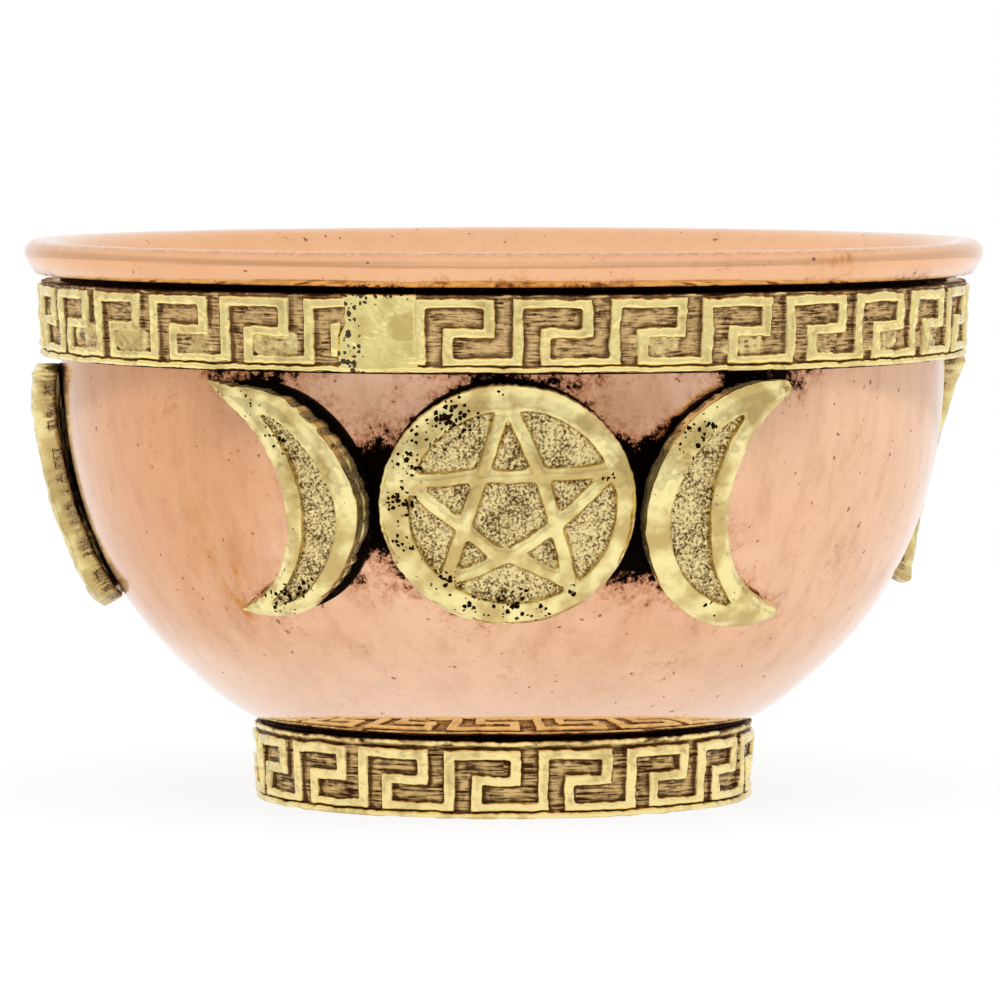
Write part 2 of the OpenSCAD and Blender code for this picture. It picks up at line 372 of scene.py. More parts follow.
class Desk:
    """Adds and links the nodes of one shader tree, which it empties first."""

    def __init__(self, tree: Tree) -> None:
        """Start work on a tree."""
        self.tree = tree
        tree.nodes.clear()

    def add(self, kind: str, sockets: dict | None = None, **settings: Any) -> bpy.types.Node:
        """Add a node.

        Args:
            kind: The node's type.
            sockets: Input sockets by name or number, each with a value or an output to link.
            **settings: The node's settings by name.

        Returns:
            The new node.
        """
        node = self.tree.nodes.new(kind)
        for name, value in settings.items():
            setattr(node, name, value)
        for key, value in (sockets or {}).items():
            if isinstance(value, Socket):
                self.tree.links.new(value, node.inputs[key])
            else:
                node.inputs[key].default_value = value
        return node

    def math(self, operation: str, first: Any, second: Any = 0.0) -> Socket:
        """Work out one number from two."""
        return self.add("ShaderNodeMath", {0: first, 1: second}, operation=operation).outputs[0]

    def plus(self, first: Any, second: Any) -> Socket:
        """Add two numbers."""
        return self.math("ADD", first, second)

    def minus(self, first: Any, second: Any) -> Socket:
        """Take the second number from the first."""
        return self.math("SUBTRACT", first, second)

    def times(self, first: Any, second: Any) -> Socket:
        """Multiply two numbers."""
        return self.math("MULTIPLY", first, second)

    def most(self, first: Any, second: Any) -> Socket:
        """Take the larger of two numbers."""
        return self.math("MAXIMUM", first, second)

    def span(
        self, value: Any, low: float, high: float, start: float = 0.0, end: float = 1.0
    ) -> Socket:
        """Ease a number from start, where it is at low, to end, where it is at high."""
        return self.add(
            "ShaderNodeMapRange",
            {"Value": value, "From Min": low, "From Max": high, "To Min": start, "To Max": end},
            interpolation_type="SMOOTHSTEP",
        ).outputs["Result"]

    def mix(self, share: Any, first: Any, second: Any) -> Socket:
        """Mix two colours, with the second taking a share."""
        return self.add(
            "ShaderNodeMix", {0: share, 6: first, 7: second}, data_type="RGBA"
        ).outputs[2]

    def tint(self, tone: Any, mask: Any, strength: float, colour: Any) -> Socket:
        """Lay a colour over a tone where a mask lies, at some strength."""
        return self.mix(self.times(mask, strength), tone, colour)

    def blend(self, share: Any, first: Any, second: Any) -> Socket:
        """Mix two numbers, with the second taking a share."""
        return self.add("ShaderNodeMix", {0: share, 2: first, 3: second}).outputs[0]

    def noise(self, vector: Any, size: float, detail: float = 2.0, rough: float = 0.5) -> Socket:
        """Read a noise, about 0.5 in the middle.

        Args:
            vector: The coordinates, in metres.
            size: The width of its largest features, in metres.
            detail: How many finer layers it has.
            rough: How strong they are.

        Returns:
            The noise.
        """
        return self.add(
            "ShaderNodeTexNoise",
            {"Vector": vector, "Scale": 1 / size, "Detail": detail, "Roughness": rough},
        ).outputs["Fac"]

    def stretched(self, vector: Any, scale: tuple[float, float, float]) -> Socket:
        """Scale coordinates along x, y and z."""
        return self.add("ShaderNodeMapping", {"Vector": vector, "Scale": scale}).outputs[0]

    def attribute(self, name: str) -> Socket:
        """Read a number stored on the mesh."""
        return self.add("ShaderNodeAttribute", attribute_name=name).outputs["Fac"]

    def place(self) -> Socket:
        """Read the place on the object, in metres."""
        return self.add("ShaderNodeTexCoord").outputs["Object"]

    def axes(self, vector: Any) -> Any:
        """Take coordinates apart into x, y and z."""
        return self.add("ShaderNodeSeparateXYZ", {0: vector}).outputs

    def call(self, group: Tree, sockets: dict) -> Any:
        """Place a node group, fill in its inputs and return its outputs."""
        return self.add("ShaderNodeGroup", sockets, node_tree=group).outputs

    def metal(self, surface: dict, height: Any, strength: float, distance: float) -> None:
        """Finish a metal's tree.

        Args:
            surface: The shader's inputs by name.
            height: The unevenness to read.
            strength: How much of it shows.
            distance: The height that 1 stands for.
        """
        bump = self.add(
            "ShaderNodeBump", {"Height": height, "Strength": strength, "Distance": distance}
        )
        sockets = {**surface, "Normal": bump.outputs["Normal"]}
        shader = self.add("ShaderNodeBsdfPrincipled", sockets)
        self.add("ShaderNodeOutputMaterial", {"Surface": shader.outputs[0]})


def new_group(name: str, inputs: dict[str, str], outputs: dict[str, str]) -> tuple[Tree, Desk, Any]:
    """Make an empty shader node group.

    Args:
        name: The group's name.
        inputs: Its inputs, each with the kind of its socket.
        outputs: Its outputs, each with the kind of its socket.

    Returns:
        The group's tree, a desk for its nodes, and its inputs to read.
    """
    tree = bpy.data.node_groups.new(name, "ShaderNodeTree")
    for side, sockets in (("INPUT", inputs), ("OUTPUT", outputs)):
        for label, kind in sockets.items():
            tree.interface.new_socket(label, in_out=side, socket_type="NodeSocket" + kind)
    desk = Desk(tree)
    return tree, desk, desk.add("NodeGroupInput").outputs


def linear(red: int, green: int, blue: int) -> tuple[float, float, float, float]:
    """Turn a colour as seen on a screen, 0 to 255, into the renderer's linear colour."""

    def one(value: int) -> float:
        """Turn one channel."""
        share = value / 255
        return share / 12.92 if share < 0.04045 else ((share + 0.055) / 1.055) ** 2.4

    return one(red), one(green), one(blue), 1.0


# Effects that more than one finish uses


def pit_group() -> Tree:
    """Build the pits that gas leaves in a casting.

    Returns:
        A group from Place, Size and Amount to Mask, which is 1 in a pit.
    """
    inputs = {"Place": "Vector", "Size": "Float", "Amount": "Float"}
    tree, desk, given = new_group("casting_pits", inputs, {"Mask": "Float"})
    tear = 0.25 * MM
    ragged = desk.add(
        "ShaderNodeTexNoise", {"Vector": given["Place"], "Scale": 1 / tear, "Detail": 1.0}
    ).outputs["Color"]
    push = desk.add("ShaderNodeVectorMath", {0: ragged, "Scale": tear}, operation="SCALE")
    moved = desk.add("ShaderNodeVectorMath", {0: given["Place"], 1: push.outputs[0]})
    scale = desk.math("DIVIDE", 1.0, given["Size"])
    cells = desk.add("ShaderNodeTexVoronoi", {"Vector": moved.outputs[0], "Scale": scale}).outputs
    chance = desk.add("ShaderNodeSeparateColor", {0: cells["Color"]}).outputs[0]
    reach = desk.times(desk.minus(given["Amount"], chance), 1.05)
    over = desk.minus(reach, cells["Distance"])
    desk.add("NodeGroupOutput", {"Mask": desk.span(over, 0.0, 0.07)})
    return tree


def file_group() -> Tree:
    """Build the fine level strokes that a file leaves round a ring.

    Returns:
        A group from Place and Width to Lines, about 0.5 in the middle.
    """
    inputs = {"Place": "Vector", "Width": "Float"}
    tree, desk, given = new_group("file_strokes", inputs, {"Lines": "Float"})
    squeeze = 0.085
    axes = desk.axes(given["Place"])
    turn = desk.math("ARCTAN2", axes[0], axes[1])
    away = desk.add("ShaderNodeVectorMath", {0: given["Place"]}, operation="LENGTH")
    along = desk.times(turn, desk.times(away.outputs["Value"], squeeze))
    flat = desk.add("ShaderNodeCombineXYZ", {0: along, 1: axes[2]}).outputs[0]
    scale = desk.math("DIVIDE", 1.0, given["Width"])
    lines = desk.add(
        "ShaderNodeTexNoise", {"Vector": flat, "Scale": scale, "Detail": 2.0, "Roughness": 0.6}
    )
    desk.add("NodeGroupOutput", {"Lines": lines.outputs["Fac"]})
    return tree


def patina_group() -> Tree:
    """Build cast brass: bright where it is rubbed, brown in its hollows, with a painted highlight on its
    raised edges and a painted darker reflection on its level faces.

    Returns:
        A group from Place, Ridge, Nook, Grain, Flat, Crease and four colours to Color,
        Roughness and Polish. Flat is how much darker a level face is drawn, a painted reflection,
        and Crease how dark its nooks are.
    """
    inputs = {"Place": "Vector"}
    inputs.update((name, "Float") for name in ("Ridge", "Nook", "Grain", "Flat", "Crease"))
    inputs.update((name, "Color") for name in ("Bright", "Dull", "Ground", "Dark"))
    outputs = {"Color": "Color", "Roughness": "Float", "Polish": "Float"}
    tree, desk, given = new_group("brass_patina", inputs, outputs)
    wander = desk.span(desk.noise(given["Place"], 1.6 * MM, 3.0, 0.6), 0.25, 0.75, -0.18, 0.18)
    polish = desk.span(desk.plus(given["Ridge"], wander), 0.35, 0.62)
    worn = desk.span(desk.noise(given["Place"], 2.4 * MM, 3.0, 0.5), 0.34, 0.66, -0.15, 0.15)
    # The darker metal colour goes on level faces as a painted darker reflection, and into nooks. Raised
    # edges, where Nook is below 0, keep the bright colour as a painted highlight.
    level = desk.plus(given["Nook"], given["Flat"])
    darker_metal = desk.span(desk.plus(level, worn), -0.2, 0.2)
    metal = desk.mix(darker_metal, given["Bright"], given["Dull"])
    tone = desk.span(desk.plus(given["Grain"], desk.times(wander, 0.5)), 0.32, 0.6)
    ground = desk.mix(tone, given["Dark"], given["Ground"])
    body = desk.mix(polish, ground, metal)
    nook = desk.span(desk.plus(given["Nook"], desk.times(wander, 0.6)), 0.07, 0.29)
    shaded = desk.mix(desk.times(nook, given["Crease"]), body, given["Dark"])
    rough = desk.blend(polish, 0.5, 0.18)
    desk.add("NodeGroupOutput", {"Color": shaded, "Roughness": rough, "Polish": polish})
    return tree


@dataclass
class Effects:
    """The node groups that finishes share."""

    pits: Tree = field(default_factory=pit_group)
    strokes: Tree = field(default_factory=file_group)
    patina: Tree = field(default_factory=patina_group)


# Finishes


def new_finish(name: str) -> tuple[Finish, Desk]:
    """Make an empty material and a desk for its nodes."""
    finish = bpy.data.materials.new(name)
    finish.use_nodes = True
    return finish, Desk(finish.node_tree)


@dataclass(frozen=True)
class PolishedCopper:
    """Polished copper sheet with tarnish and stains, sooty residue and painted shade round the
    soldered castings and under the band, painted shade on the upper left and a painted floor
    reflection low on the belly.
    """

    clean: tuple = linear(243, 195, 160)
    warm_and_shaded: tuple = linear(226, 168, 124)
    pale: tuple = linear(248, 214, 192)
    tarnish: tuple = linear(186, 126, 86)
    stain: tuple = linear(206, 128, 44)
    soot_and_shade_black: tuple = linear(10, 4, 2)
    haze_and_shade: tuple = linear(172, 94, 52)
    speck: tuple = linear(110, 60, 34)
    rim: tuple = linear(244, 186, 138)
    rim_heights: Place = mm(40.4, 41.6)
    base_heights: Place = mm(8.5, 12.0)

    def sheet(self, desk: Desk, broad: Socket) -> Socket:
        """Colour the sheet before the sooty residue and painted shade: a warmer, darker copper, which is
        painted shade on the upper left and random tone elsewhere, a paler painted floor reflection low on
        the belly, tarnish, stains and specks.

        Args:
            desk: The material's desk.
            broad: The noise that the broad changes follow.

        Returns:
            The colour.
        """
        place = desk.place()
        axes = desk.axes(place)
        # A warmer, darker copper on the left above the low belly: painted shade, where the wall mirrors a
        # dimmer surround. Elsewhere broad noise spreads the same colour as random tone.
        drift = desk.span(broad, 0.3, 0.7, -6 * MM, 6 * MM)
        left = desk.span(desk.plus(axes[0], drift), -8 * MM, -24 * MM)
        high = desk.span(desk.plus(axes[2], drift), 7 * MM, 18 * MM)
        warmth_and_left_shade = desk.most(desk.times(left, high), desk.span(broad, 0.42, 0.75, 0.0, 0.7))
        tone = desk.mix(warmth_and_left_shade, self.clean, self.warm_and_shaded)
        upright = desk.stretched(place, (1, 1, 0.3))
        veil = desk.span(desk.noise(upright, 6 * MM, 4.0, 0.62), 0.52, 0.80)
        tone = desk.tint(tone, veil, 0.5, self.tarnish)
        mottle = desk.span(desk.noise(upright, 1.9 * MM, 6.0, 0.72), 0.42, 0.72)
        tone = desk.tint(tone, mottle, 0.32, self.tarnish)
        # Painted reflection: the belly's outer face is paler low down, where it would mirror the white
        # floor.
        tone = desk.tint(tone, desk.attribute("floor_reflection"), 0.75, self.pale)
        tone = desk.tint(tone, desk.span(axes[2], *self.rim_heights), 0.75, self.rim)
        streaks = desk.span(desk.noise(upright, 1.6 * MM, 5.0, 0.68), 0.40, 0.70)
        where = desk.attribute("stain")
        near = desk.span(where, 0.05, 0.9, 0.0, 0.6)
        core = desk.span(where, 0.8, 1.6, 0.0, 1.2)
        stained = desk.math("MINIMUM", desk.times(streaks, desk.plus(near, core)), 0.9)
        tone = desk.mix(stained, tone, self.stain)
        specks = desk.span(desk.noise(place, 0.7 * MM, 1.0), 0.74, 0.775)
        return desk.tint(tone, specks, 0.75, self.speck)

    def build(self) -> Finish:
        """Build the material, which reads the bowl's attributes for sooty residue with painted shade,
        stains, the crest line and the painted floor reflection.
        """
        finish, desk = new_finish("polished_copper")
        place = desk.place()
        broad = desk.noise(place, 20 * MM, 3.0, 0.55)
        tuft = desk.span(desk.noise(place, 0.7 * MM, 5.0, 0.85), 0.3, 0.7, -0.32, 0.32)
        cloud = desk.span(desk.noise(place, 3.6 * MM, 2.0), 0.3, 0.7, -0.22, 0.22)
        # Sooty residue with painted shade round the castings and under the band: black at its core, with a
        # brown halo round it.
        swept = desk.plus(desk.attribute("soot_and_shade"), desk.plus(tuft, cloud))
        film_and_shade = desk.span(swept, 0.2, 0.95)
        black = desk.span(swept, 0.66, 0.92)
        tone = desk.tint(self.sheet(desk, broad), film_and_shade, 0.8, self.haze_and_shade)
        tone = desk.mix(black, tone, self.soot_and_shade_black)
        dots = desk.span(desk.noise(place, 0.45 * MM, 3.0, 0.7), 0.38, 0.62)
        tone = desk.tint(tone, desk.times(desk.attribute("crest"), dots), 0.5, self.tarnish)
        scratch = desk.noise(desk.stretched(place, (1, 1, 5)), 0.9 * MM, 3.0, 0.7)
        height = desk.plus(scratch, desk.times(desk.noise(place, 0.35 * MM, 2.0, 0.6), 0.5))
        gloss = desk.blend(desk.span(broad, 0.3, 0.7), 0.10, 0.17)
        gloss = desk.blend(desk.span(desk.axes(place)[2], *self.base_heights), 0.05, gloss)
        desk.metal({
            "Base Color": tone,
            "Metallic": 1.0,
            "Roughness": desk.blend(black, gloss, 0.55),
            "Coat Weight": desk.blend(film_and_shade, 0.22, 0.0),
            "Coat Roughness": 0.15,
        }, height, 0.08, 0.02 * MM)
        return finish


@dataclass(frozen=True)
class CastBrass:
    """Cast brass, rubbed bright on its ridges and left brown in its hollows, with a painted highlight on
    its raised edges.

    Its ground is grained, or filed to the share that strokes gives, and shifted lighter or
    darker. Flat is how much darker its level faces are drawn, a painted reflection, and crease
    how dark its nooks are.
    """

    name: str
    bright: tuple = linear(253, 232, 162)
    darker_metal: tuple = linear(204, 178, 114)
    ground: tuple = linear(208, 174, 122)
    dark: tuple = linear(74, 40, 12)
    pit: tuple = linear(34, 20, 8)
    strokes: float = 0.5
    stroke_width: float = 0.17 * MM
    pit_size: float = 0.5 * MM
    bumps: float = 0.35
    flat: float = 0.0
    shift: float = 0.0
    crease: float = 0.9

    def build(self, effects: Effects) -> Finish:
        """Build the material, which reads the ridge, nook, wall and pitting attributes."""
        finish, desk = new_finish(self.name)
        place = desk.place()
        lines = desk.call(effects.strokes, {"Place": place, "Width": self.stroke_width})[0]
        grain = desk.noise(place, 0.22 * MM, 2.0, 0.6)
        mixed = desk.plus(desk.blend(self.strokes, grain, lines), self.shift)
        brass = desk.call(effects.patina, {
            "Place": place, "Ridge": desk.attribute("ridge"), "Nook": desk.attribute("nook"),
            "Grain": mixed, "Flat": self.flat, "Crease": self.crease, "Bright": self.bright,
            "Dull": self.darker_metal, "Ground": self.ground, "Dark": self.dark,
        })
        pits = desk.call(effects.pits, {
            "Place": place, "Size": self.pit_size, "Amount": desk.attribute("pitting"),
        })[0]
        lumps = desk.blend(brass["Polish"], mixed, desk.noise(place, 0.8 * MM, 2.0))
        desk.metal({
            "Base Color": desk.mix(pits, brass["Color"], self.pit),
            "Metallic": desk.blend(desk.attribute("wall"), 1.0, 0.7),
            "Roughness": desk.blend(pits, brass["Roughness"], 0.7),
        }, desk.minus(lumps, desk.times(pits, 2.0)), self.bumps, 0.06 * MM)
        return finish


@dataclass(frozen=True)
class RunBraze:
    """Braze that ran over the key, rubbed smooth, with a few pits."""

    bright: tuple = linear(255, 238, 160)
    darker_metal: tuple = linear(214, 188, 112)
    dark: tuple = linear(58, 38, 16)
    pit_size: float = 0.4 * MM

    def build(self, effects: Effects) -> Finish:
        """Build the material, which reads the facet and pitting attributes."""
        finish, desk = new_finish("run_braze")
        place = desk.place()
        clouds = desk.span(desk.noise(place, 2.4 * MM, 3.0, 0.5), 0.46, 0.66)
        wander = desk.span(desk.noise(place, 1.5 * MM, 2.0), 0.25, 0.75, -0.4, 0.4)
        facet = desk.span(desk.plus(desk.attribute("facet"), wander), 0.35, 0.6)
        patch = desk.most(desk.times(clouds, 0.6), desk.times(facet, 0.8))
        pits = desk.call(effects.pits, {
            "Place": place, "Size": self.pit_size, "Amount": desk.attribute("pitting"),
        })[0]
        lumps = desk.times(desk.noise(place, 1.1 * MM, 2.0), desk.minus(1.0, facet))
        desk.metal({
            "Base Color": desk.mix(pits, desk.mix(patch, self.bright, self.darker_metal), self.dark),
            "Metallic": desk.blend(pits, 1.0, 0.2),
            "Roughness": desk.blend(patch, 0.2, 0.3),
        }, desk.minus(lumps, desk.times(pits, 1.5)), 0.25, 0.08 * MM)
        return finish


@dataclass(frozen=True)
class SootyShadedSolder:
    """Soft solder blackened by flux, drawn black also as painted shade for the dark gaps round the castings
    and above the foot.
    """

    black: tuple = linear(16, 9, 5)
    brown: tuple = linear(58, 36, 22)

    def build(self) -> Finish:
        """Build the material."""
        finish, desk = new_finish("sooty_shaded_solder")
        place = desk.place()
        cloud = desk.noise(place, 0.9 * MM, 4.0, 0.65)
        desk.metal({
            "Base Color": desk.mix(desk.span(cloud, 0.55, 0.8), self.black, self.brown),
            "Metallic": 1.0,
            "Roughness": desk.span(cloud, 0.3, 0.7, 0.5, 0.72),
        }, desk.noise(place, 0.35 * MM, 3.0), 0.6, 0.08 * MM)
        return finish


# The copper bowl


@dataclass
class CopperBowl:
    """The spun bowl: a belly that swells to an upright wall, and a rim flared and rolled over.

    The belly is pressed down on the foot by dip, between the radii where that starts and ends.
    Each stained place is an angle, a height in millimetres, its reach along in degrees and up in
    millimetres, and its strength. Sooty residue with painted shade is given as a strength and a
    reach: between two castings, beside one, under the band near a casting, and in a line under the
    band.
    """

    wall_radius: float = 35.17 * MM
    wall_thickness: float = 0.8 * MM
    belly_height: float = 34.38 * MM
    belly_power: float = 2.44
    roll_radius: float = 0.95 * MM
    roll_tuck: float = 34.0
    lip_height: float = 2.68 * MM
    lip_inset: float = 1.5 * MM
    lip_root_drop: float = 3.05 * MM
    fold_out: float = 0.68 * MM
    fold_up: float = 0.08 * MM
    belly_steps: int = 76
    roll_steps: int = 9
    turns: int = 360
    dip: float = 0.5 * MM
    dip_starts: Place = mm(17.9, 19.9)
    dip_ends: Place = mm(20.5, 27.0)
    seam_bite: float = 0.06 * MM
    seam_slope: float = 0.15 * MM
    seam_turns: int = 240
    unevenness: tuple = (Bumps(14 * MM, 0.10 * MM), Bumps(5 * MM, 0.03 * MM))
    seam_unevenness: tuple = (Bumps(1.2 * MM, 0.16 * MM, "RGB_TO_XYZ"),)
    crest_width: Place = mm(0.1, 0.35)
    crest_drop: Place = mm(0.6, 0.3)
    soot_and_shade_between: tuple = ((1.35, 3.8 * MM), (0.15, 6.5 * MM))
    soot_and_shade_beside: tuple = ((0.34, 0.5 * MM), (0.4, 2.1 * MM))
    soot_and_shade_under: tuple = (0.45, 2.2 * MM)
    soot_and_shade_line: tuple = (0.5, 0.3 * MM)
    soot_and_shade_past_band: float = 0.6 * MM
    most_soot_and_shade: float = 1.5
    # Heights over which the painted floor reflection fades out up the belly.
    floor_reflection_heights: Place = mm(6.0, 15.0)
    stained: tuple = (
        (-43.0, 21.5, 5.0, 6.0, 0.85), (-41.0, 17.9, 1.6, 2.0, 1.9), (12.0, 9.6, 1.2, 0.8, 0.7),
        (42.0, 43.4, 2.4, 0.9, 1.9), (36.5, 43.4, 1.0, 0.5, 0.8), (-70.0, 40.0, 2.0, 3.0, 0.6),
        (150.0, 22.0, 5.0, 6.0, 0.8), (-160.0, 14.0, 4.0, 4.0, 0.7),
    )

    def __post_init__(self) -> None:
        """Read the bowl's height and rim from the frame."""
        low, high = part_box("bowl")
        self.low_z, self.rim_z, self.rim_radius = low.z, high.z, high.x
        self.turn_z = low.z + self.belly_height

    def sag(self, radius: float) -> float:
        """Work out how far the belly's outer face is pressed down on the foot at a radius."""
        pressed = smooth_step(radius, *self.dip_starts) * (1 - smooth_step(radius, *self.dip_ends))
        return self.dip * float(pressed)

    def belly(self, inset: float) -> list[Place]:
        """Trace one face of the belly from the axis up to the wall.

        Args:
            inset: How far the face lies inside the outer face.

        Returns:
            Places as radius and height.
        """
        places = []
        for step in range(self.belly_steps + 1):
            angle = math.pi / 2 * step / self.belly_steps
            out = math.sin(angle) ** (2 / self.belly_power)
            down = math.cos(angle) ** (2 / self.belly_power) if step < self.belly_steps else 0.0
            radius = (self.wall_radius - inset) * out
            height = self.turn_z - (self.belly_height - inset) * down
            places.append((radius, height if inset else height - self.sag(radius)))
        return places

    def arc(self, centre: Place, radius: float, start: float, end: float) -> list[Place]:
        """Trace an arc of the rim by its centre, radius and two angles in degrees."""
        angles = [
            math.radians(start + (end - start) * step / self.roll_steps)
            for step in range(self.roll_steps + 1)
        ]
        return [(centre[0] + radius * math.cos(a), centre[1] + radius * math.sin(a)) for a in angles]

    def profile(self) -> list[Place]:
        """Trace the whole section as radius and height, from the axis outside to the axis inside."""
        middle = (self.rim_radius - self.roll_radius, self.rim_z - self.roll_radius)
        flare = middle[0] - (self.wall_radius - self.wall_thickness)
        root = (self.wall_radius, self.rim_z - self.lip_root_drop)
        corner = (self.rim_radius - self.lip_inset, self.rim_z - self.lip_height)
        return (
            self.belly(0.0)
            + between((self.wall_radius, self.turn_z), root, (0.2, 0.4, 0.6, 0.8))
            + between(root, corner, (0.0, 0.5, 0.9, 1.0))
            + [(corner[0] + self.fold_out, corner[1] + self.fold_up)]
            + self.arc(middle, self.roll_radius, -self.roll_tuck, 90)
            + self.arc((middle[0], self.rim_z - flare), flare, 90, 180)[1:]
            + self.belly(self.wall_thickness)[::-1]
        )

    def model(self) -> Piece:
        """Spin the section into the closed bowl."""
        piece = spun(self.profile(), self.turns)
        roughen(piece, self.unevenness)
        keep_within(piece, "bowl")
        shade(piece)
        return piece

    def underside(self, radius: float) -> float:
        """Work out the height of the belly's outer face at a radius."""
        share = 1 - (radius / self.wall_radius) ** self.belly_power
        height = self.turn_z - self.belly_height * share ** (1 / self.belly_power)
        return height - self.sag(radius)

    def seam(self, top: float, inner: float, outer: float) -> Piece:
        """Fill the wedge between a foot's top and the belly with a thin ring of solder.

        Args:
            top: The height of the foot's top.
            inner: The ring's inner radius.
            outer: Its outer radius.

        Returns:
            The closed ring, which sinks a little into both.
        """
        bite = self.seam_bite
        section = [
            (inner, top - bite), (outer - self.seam_slope, top - bite), (outer, top + bite),
            (outer, self.underside(outer) + bite), (inner, self.underside(inner) + bite),
        ]
        piece = spun(section + section[:1], self.seam_turns)
        roughen(piece, self.seam_unevenness)
        shade(piece)
        return piece

    def soil_and_shade(self, piece: Piece, castings: list["Casting"], band: "KeyStrip") -> None:
        """Store the sooty residue with painted shade round the castings and under the band, where the
        copper is stained, the crest line and the painted floor reflection low on the belly.

        Args:
            piece: The finished bowl.
            castings: The castings soldered to it, those of one group side by side.
            band: The band round it.
        """
        points = points_of(piece)
        far = [np.maximum(casting.distance(points), 0) for casting in castings]
        total = np.zeros(len(points))
        # Sooty residue with painted shade between the castings of each group, round each casting, and under
        # the band.
        for first in range(0, len(castings), 3):
            for one, other in ((first, first + 1), (first + 1, first + 2)):
                for strength, reach in self.soot_and_shade_between:
                    total += strength * np.exp(-((far[one] + far[other]) / reach) ** 2)
        for away in far:
            for strength, reach in self.soot_and_shade_beside:
                total += strength * np.exp(-away / reach)
        below = np.clip(band.low_z - points[:, 2], 0, None)
        strength, reach = self.soot_and_shade_under
        total += strength * np.exp(-((below + 0.6 * np.min(far, axis=0)) / reach) ** 2)
        strength, reach = self.soot_and_shade_line
        total += strength * np.exp(-below / reach)
        outside = self.outer_side(points)
        below_rim = points[:, 2] < band.low_z + band.height + self.soot_and_shade_past_band
        # Painted reflection of the white floor, low on the belly's outer face.
        floor_reflection = 1 - smooth_step(points[:, 2], *self.floor_reflection_heights)
        note(piece, "soot_and_shade", np.where(outside & below_rim, np.clip(total, 0, self.most_soot_and_shade), 0))
        note(piece, "stain", np.where(outside, self.stains(points), 0))
        note(piece, "crest", self.crest(points))
        note(piece, "floor_reflection", np.where(outside, floor_reflection, 0))

    def outer_side(self, points: Rows) -> Rows:
        """Tell which points lie on the outer face."""
        out = np.hypot(points[:, 0], points[:, 1])
        half = 0.5 * self.wall_thickness
        belly = out > self.belly_radius(points[:, 2]) - half
        base = points[:, 2] < self.low_z + half
        return np.where(points[:, 2] < self.turn_z, belly | base, out > self.wall_radius - half)

    def stains(self, points: Rows) -> Rows:
        """Work out how stained each point is, from 0 up."""
        turn = np.degrees(np.arctan2(points[:, 0], -points[:, 1]))
        amount = np.zeros(len(points))
        for angle, height, wide, tall, strength in self.stained:
            off = ((turn - angle) / wide) ** 2 + ((points[:, 2] / MM - height) / tall) ** 2
            amount += strength * np.exp(-off)
        return amount

    def crest(self, points: Rows) -> Rows:
        """Find the worn line just outside the rim's crest."""
        out = np.hypot(points[:, 0], points[:, 1])
        line = self.rim_radius - 0.55 * self.roll_radius
        near = 1 - smooth_step(np.abs(out - line), *self.crest_width)
        low, high = (self.rim_z - drop for drop in self.crest_drop)
        return near * smooth_step(points[:, 2], low, high)

    def belly_radius(self, heights: Rows) -> Rows:
        """Work out the outer face's radius at some heights."""
        down = np.clip((self.turn_z - heights) / self.belly_height, 0, 1)
        return self.wall_radius * (1 - down ** self.belly_power) ** (1 / self.belly_power)


# The key strips


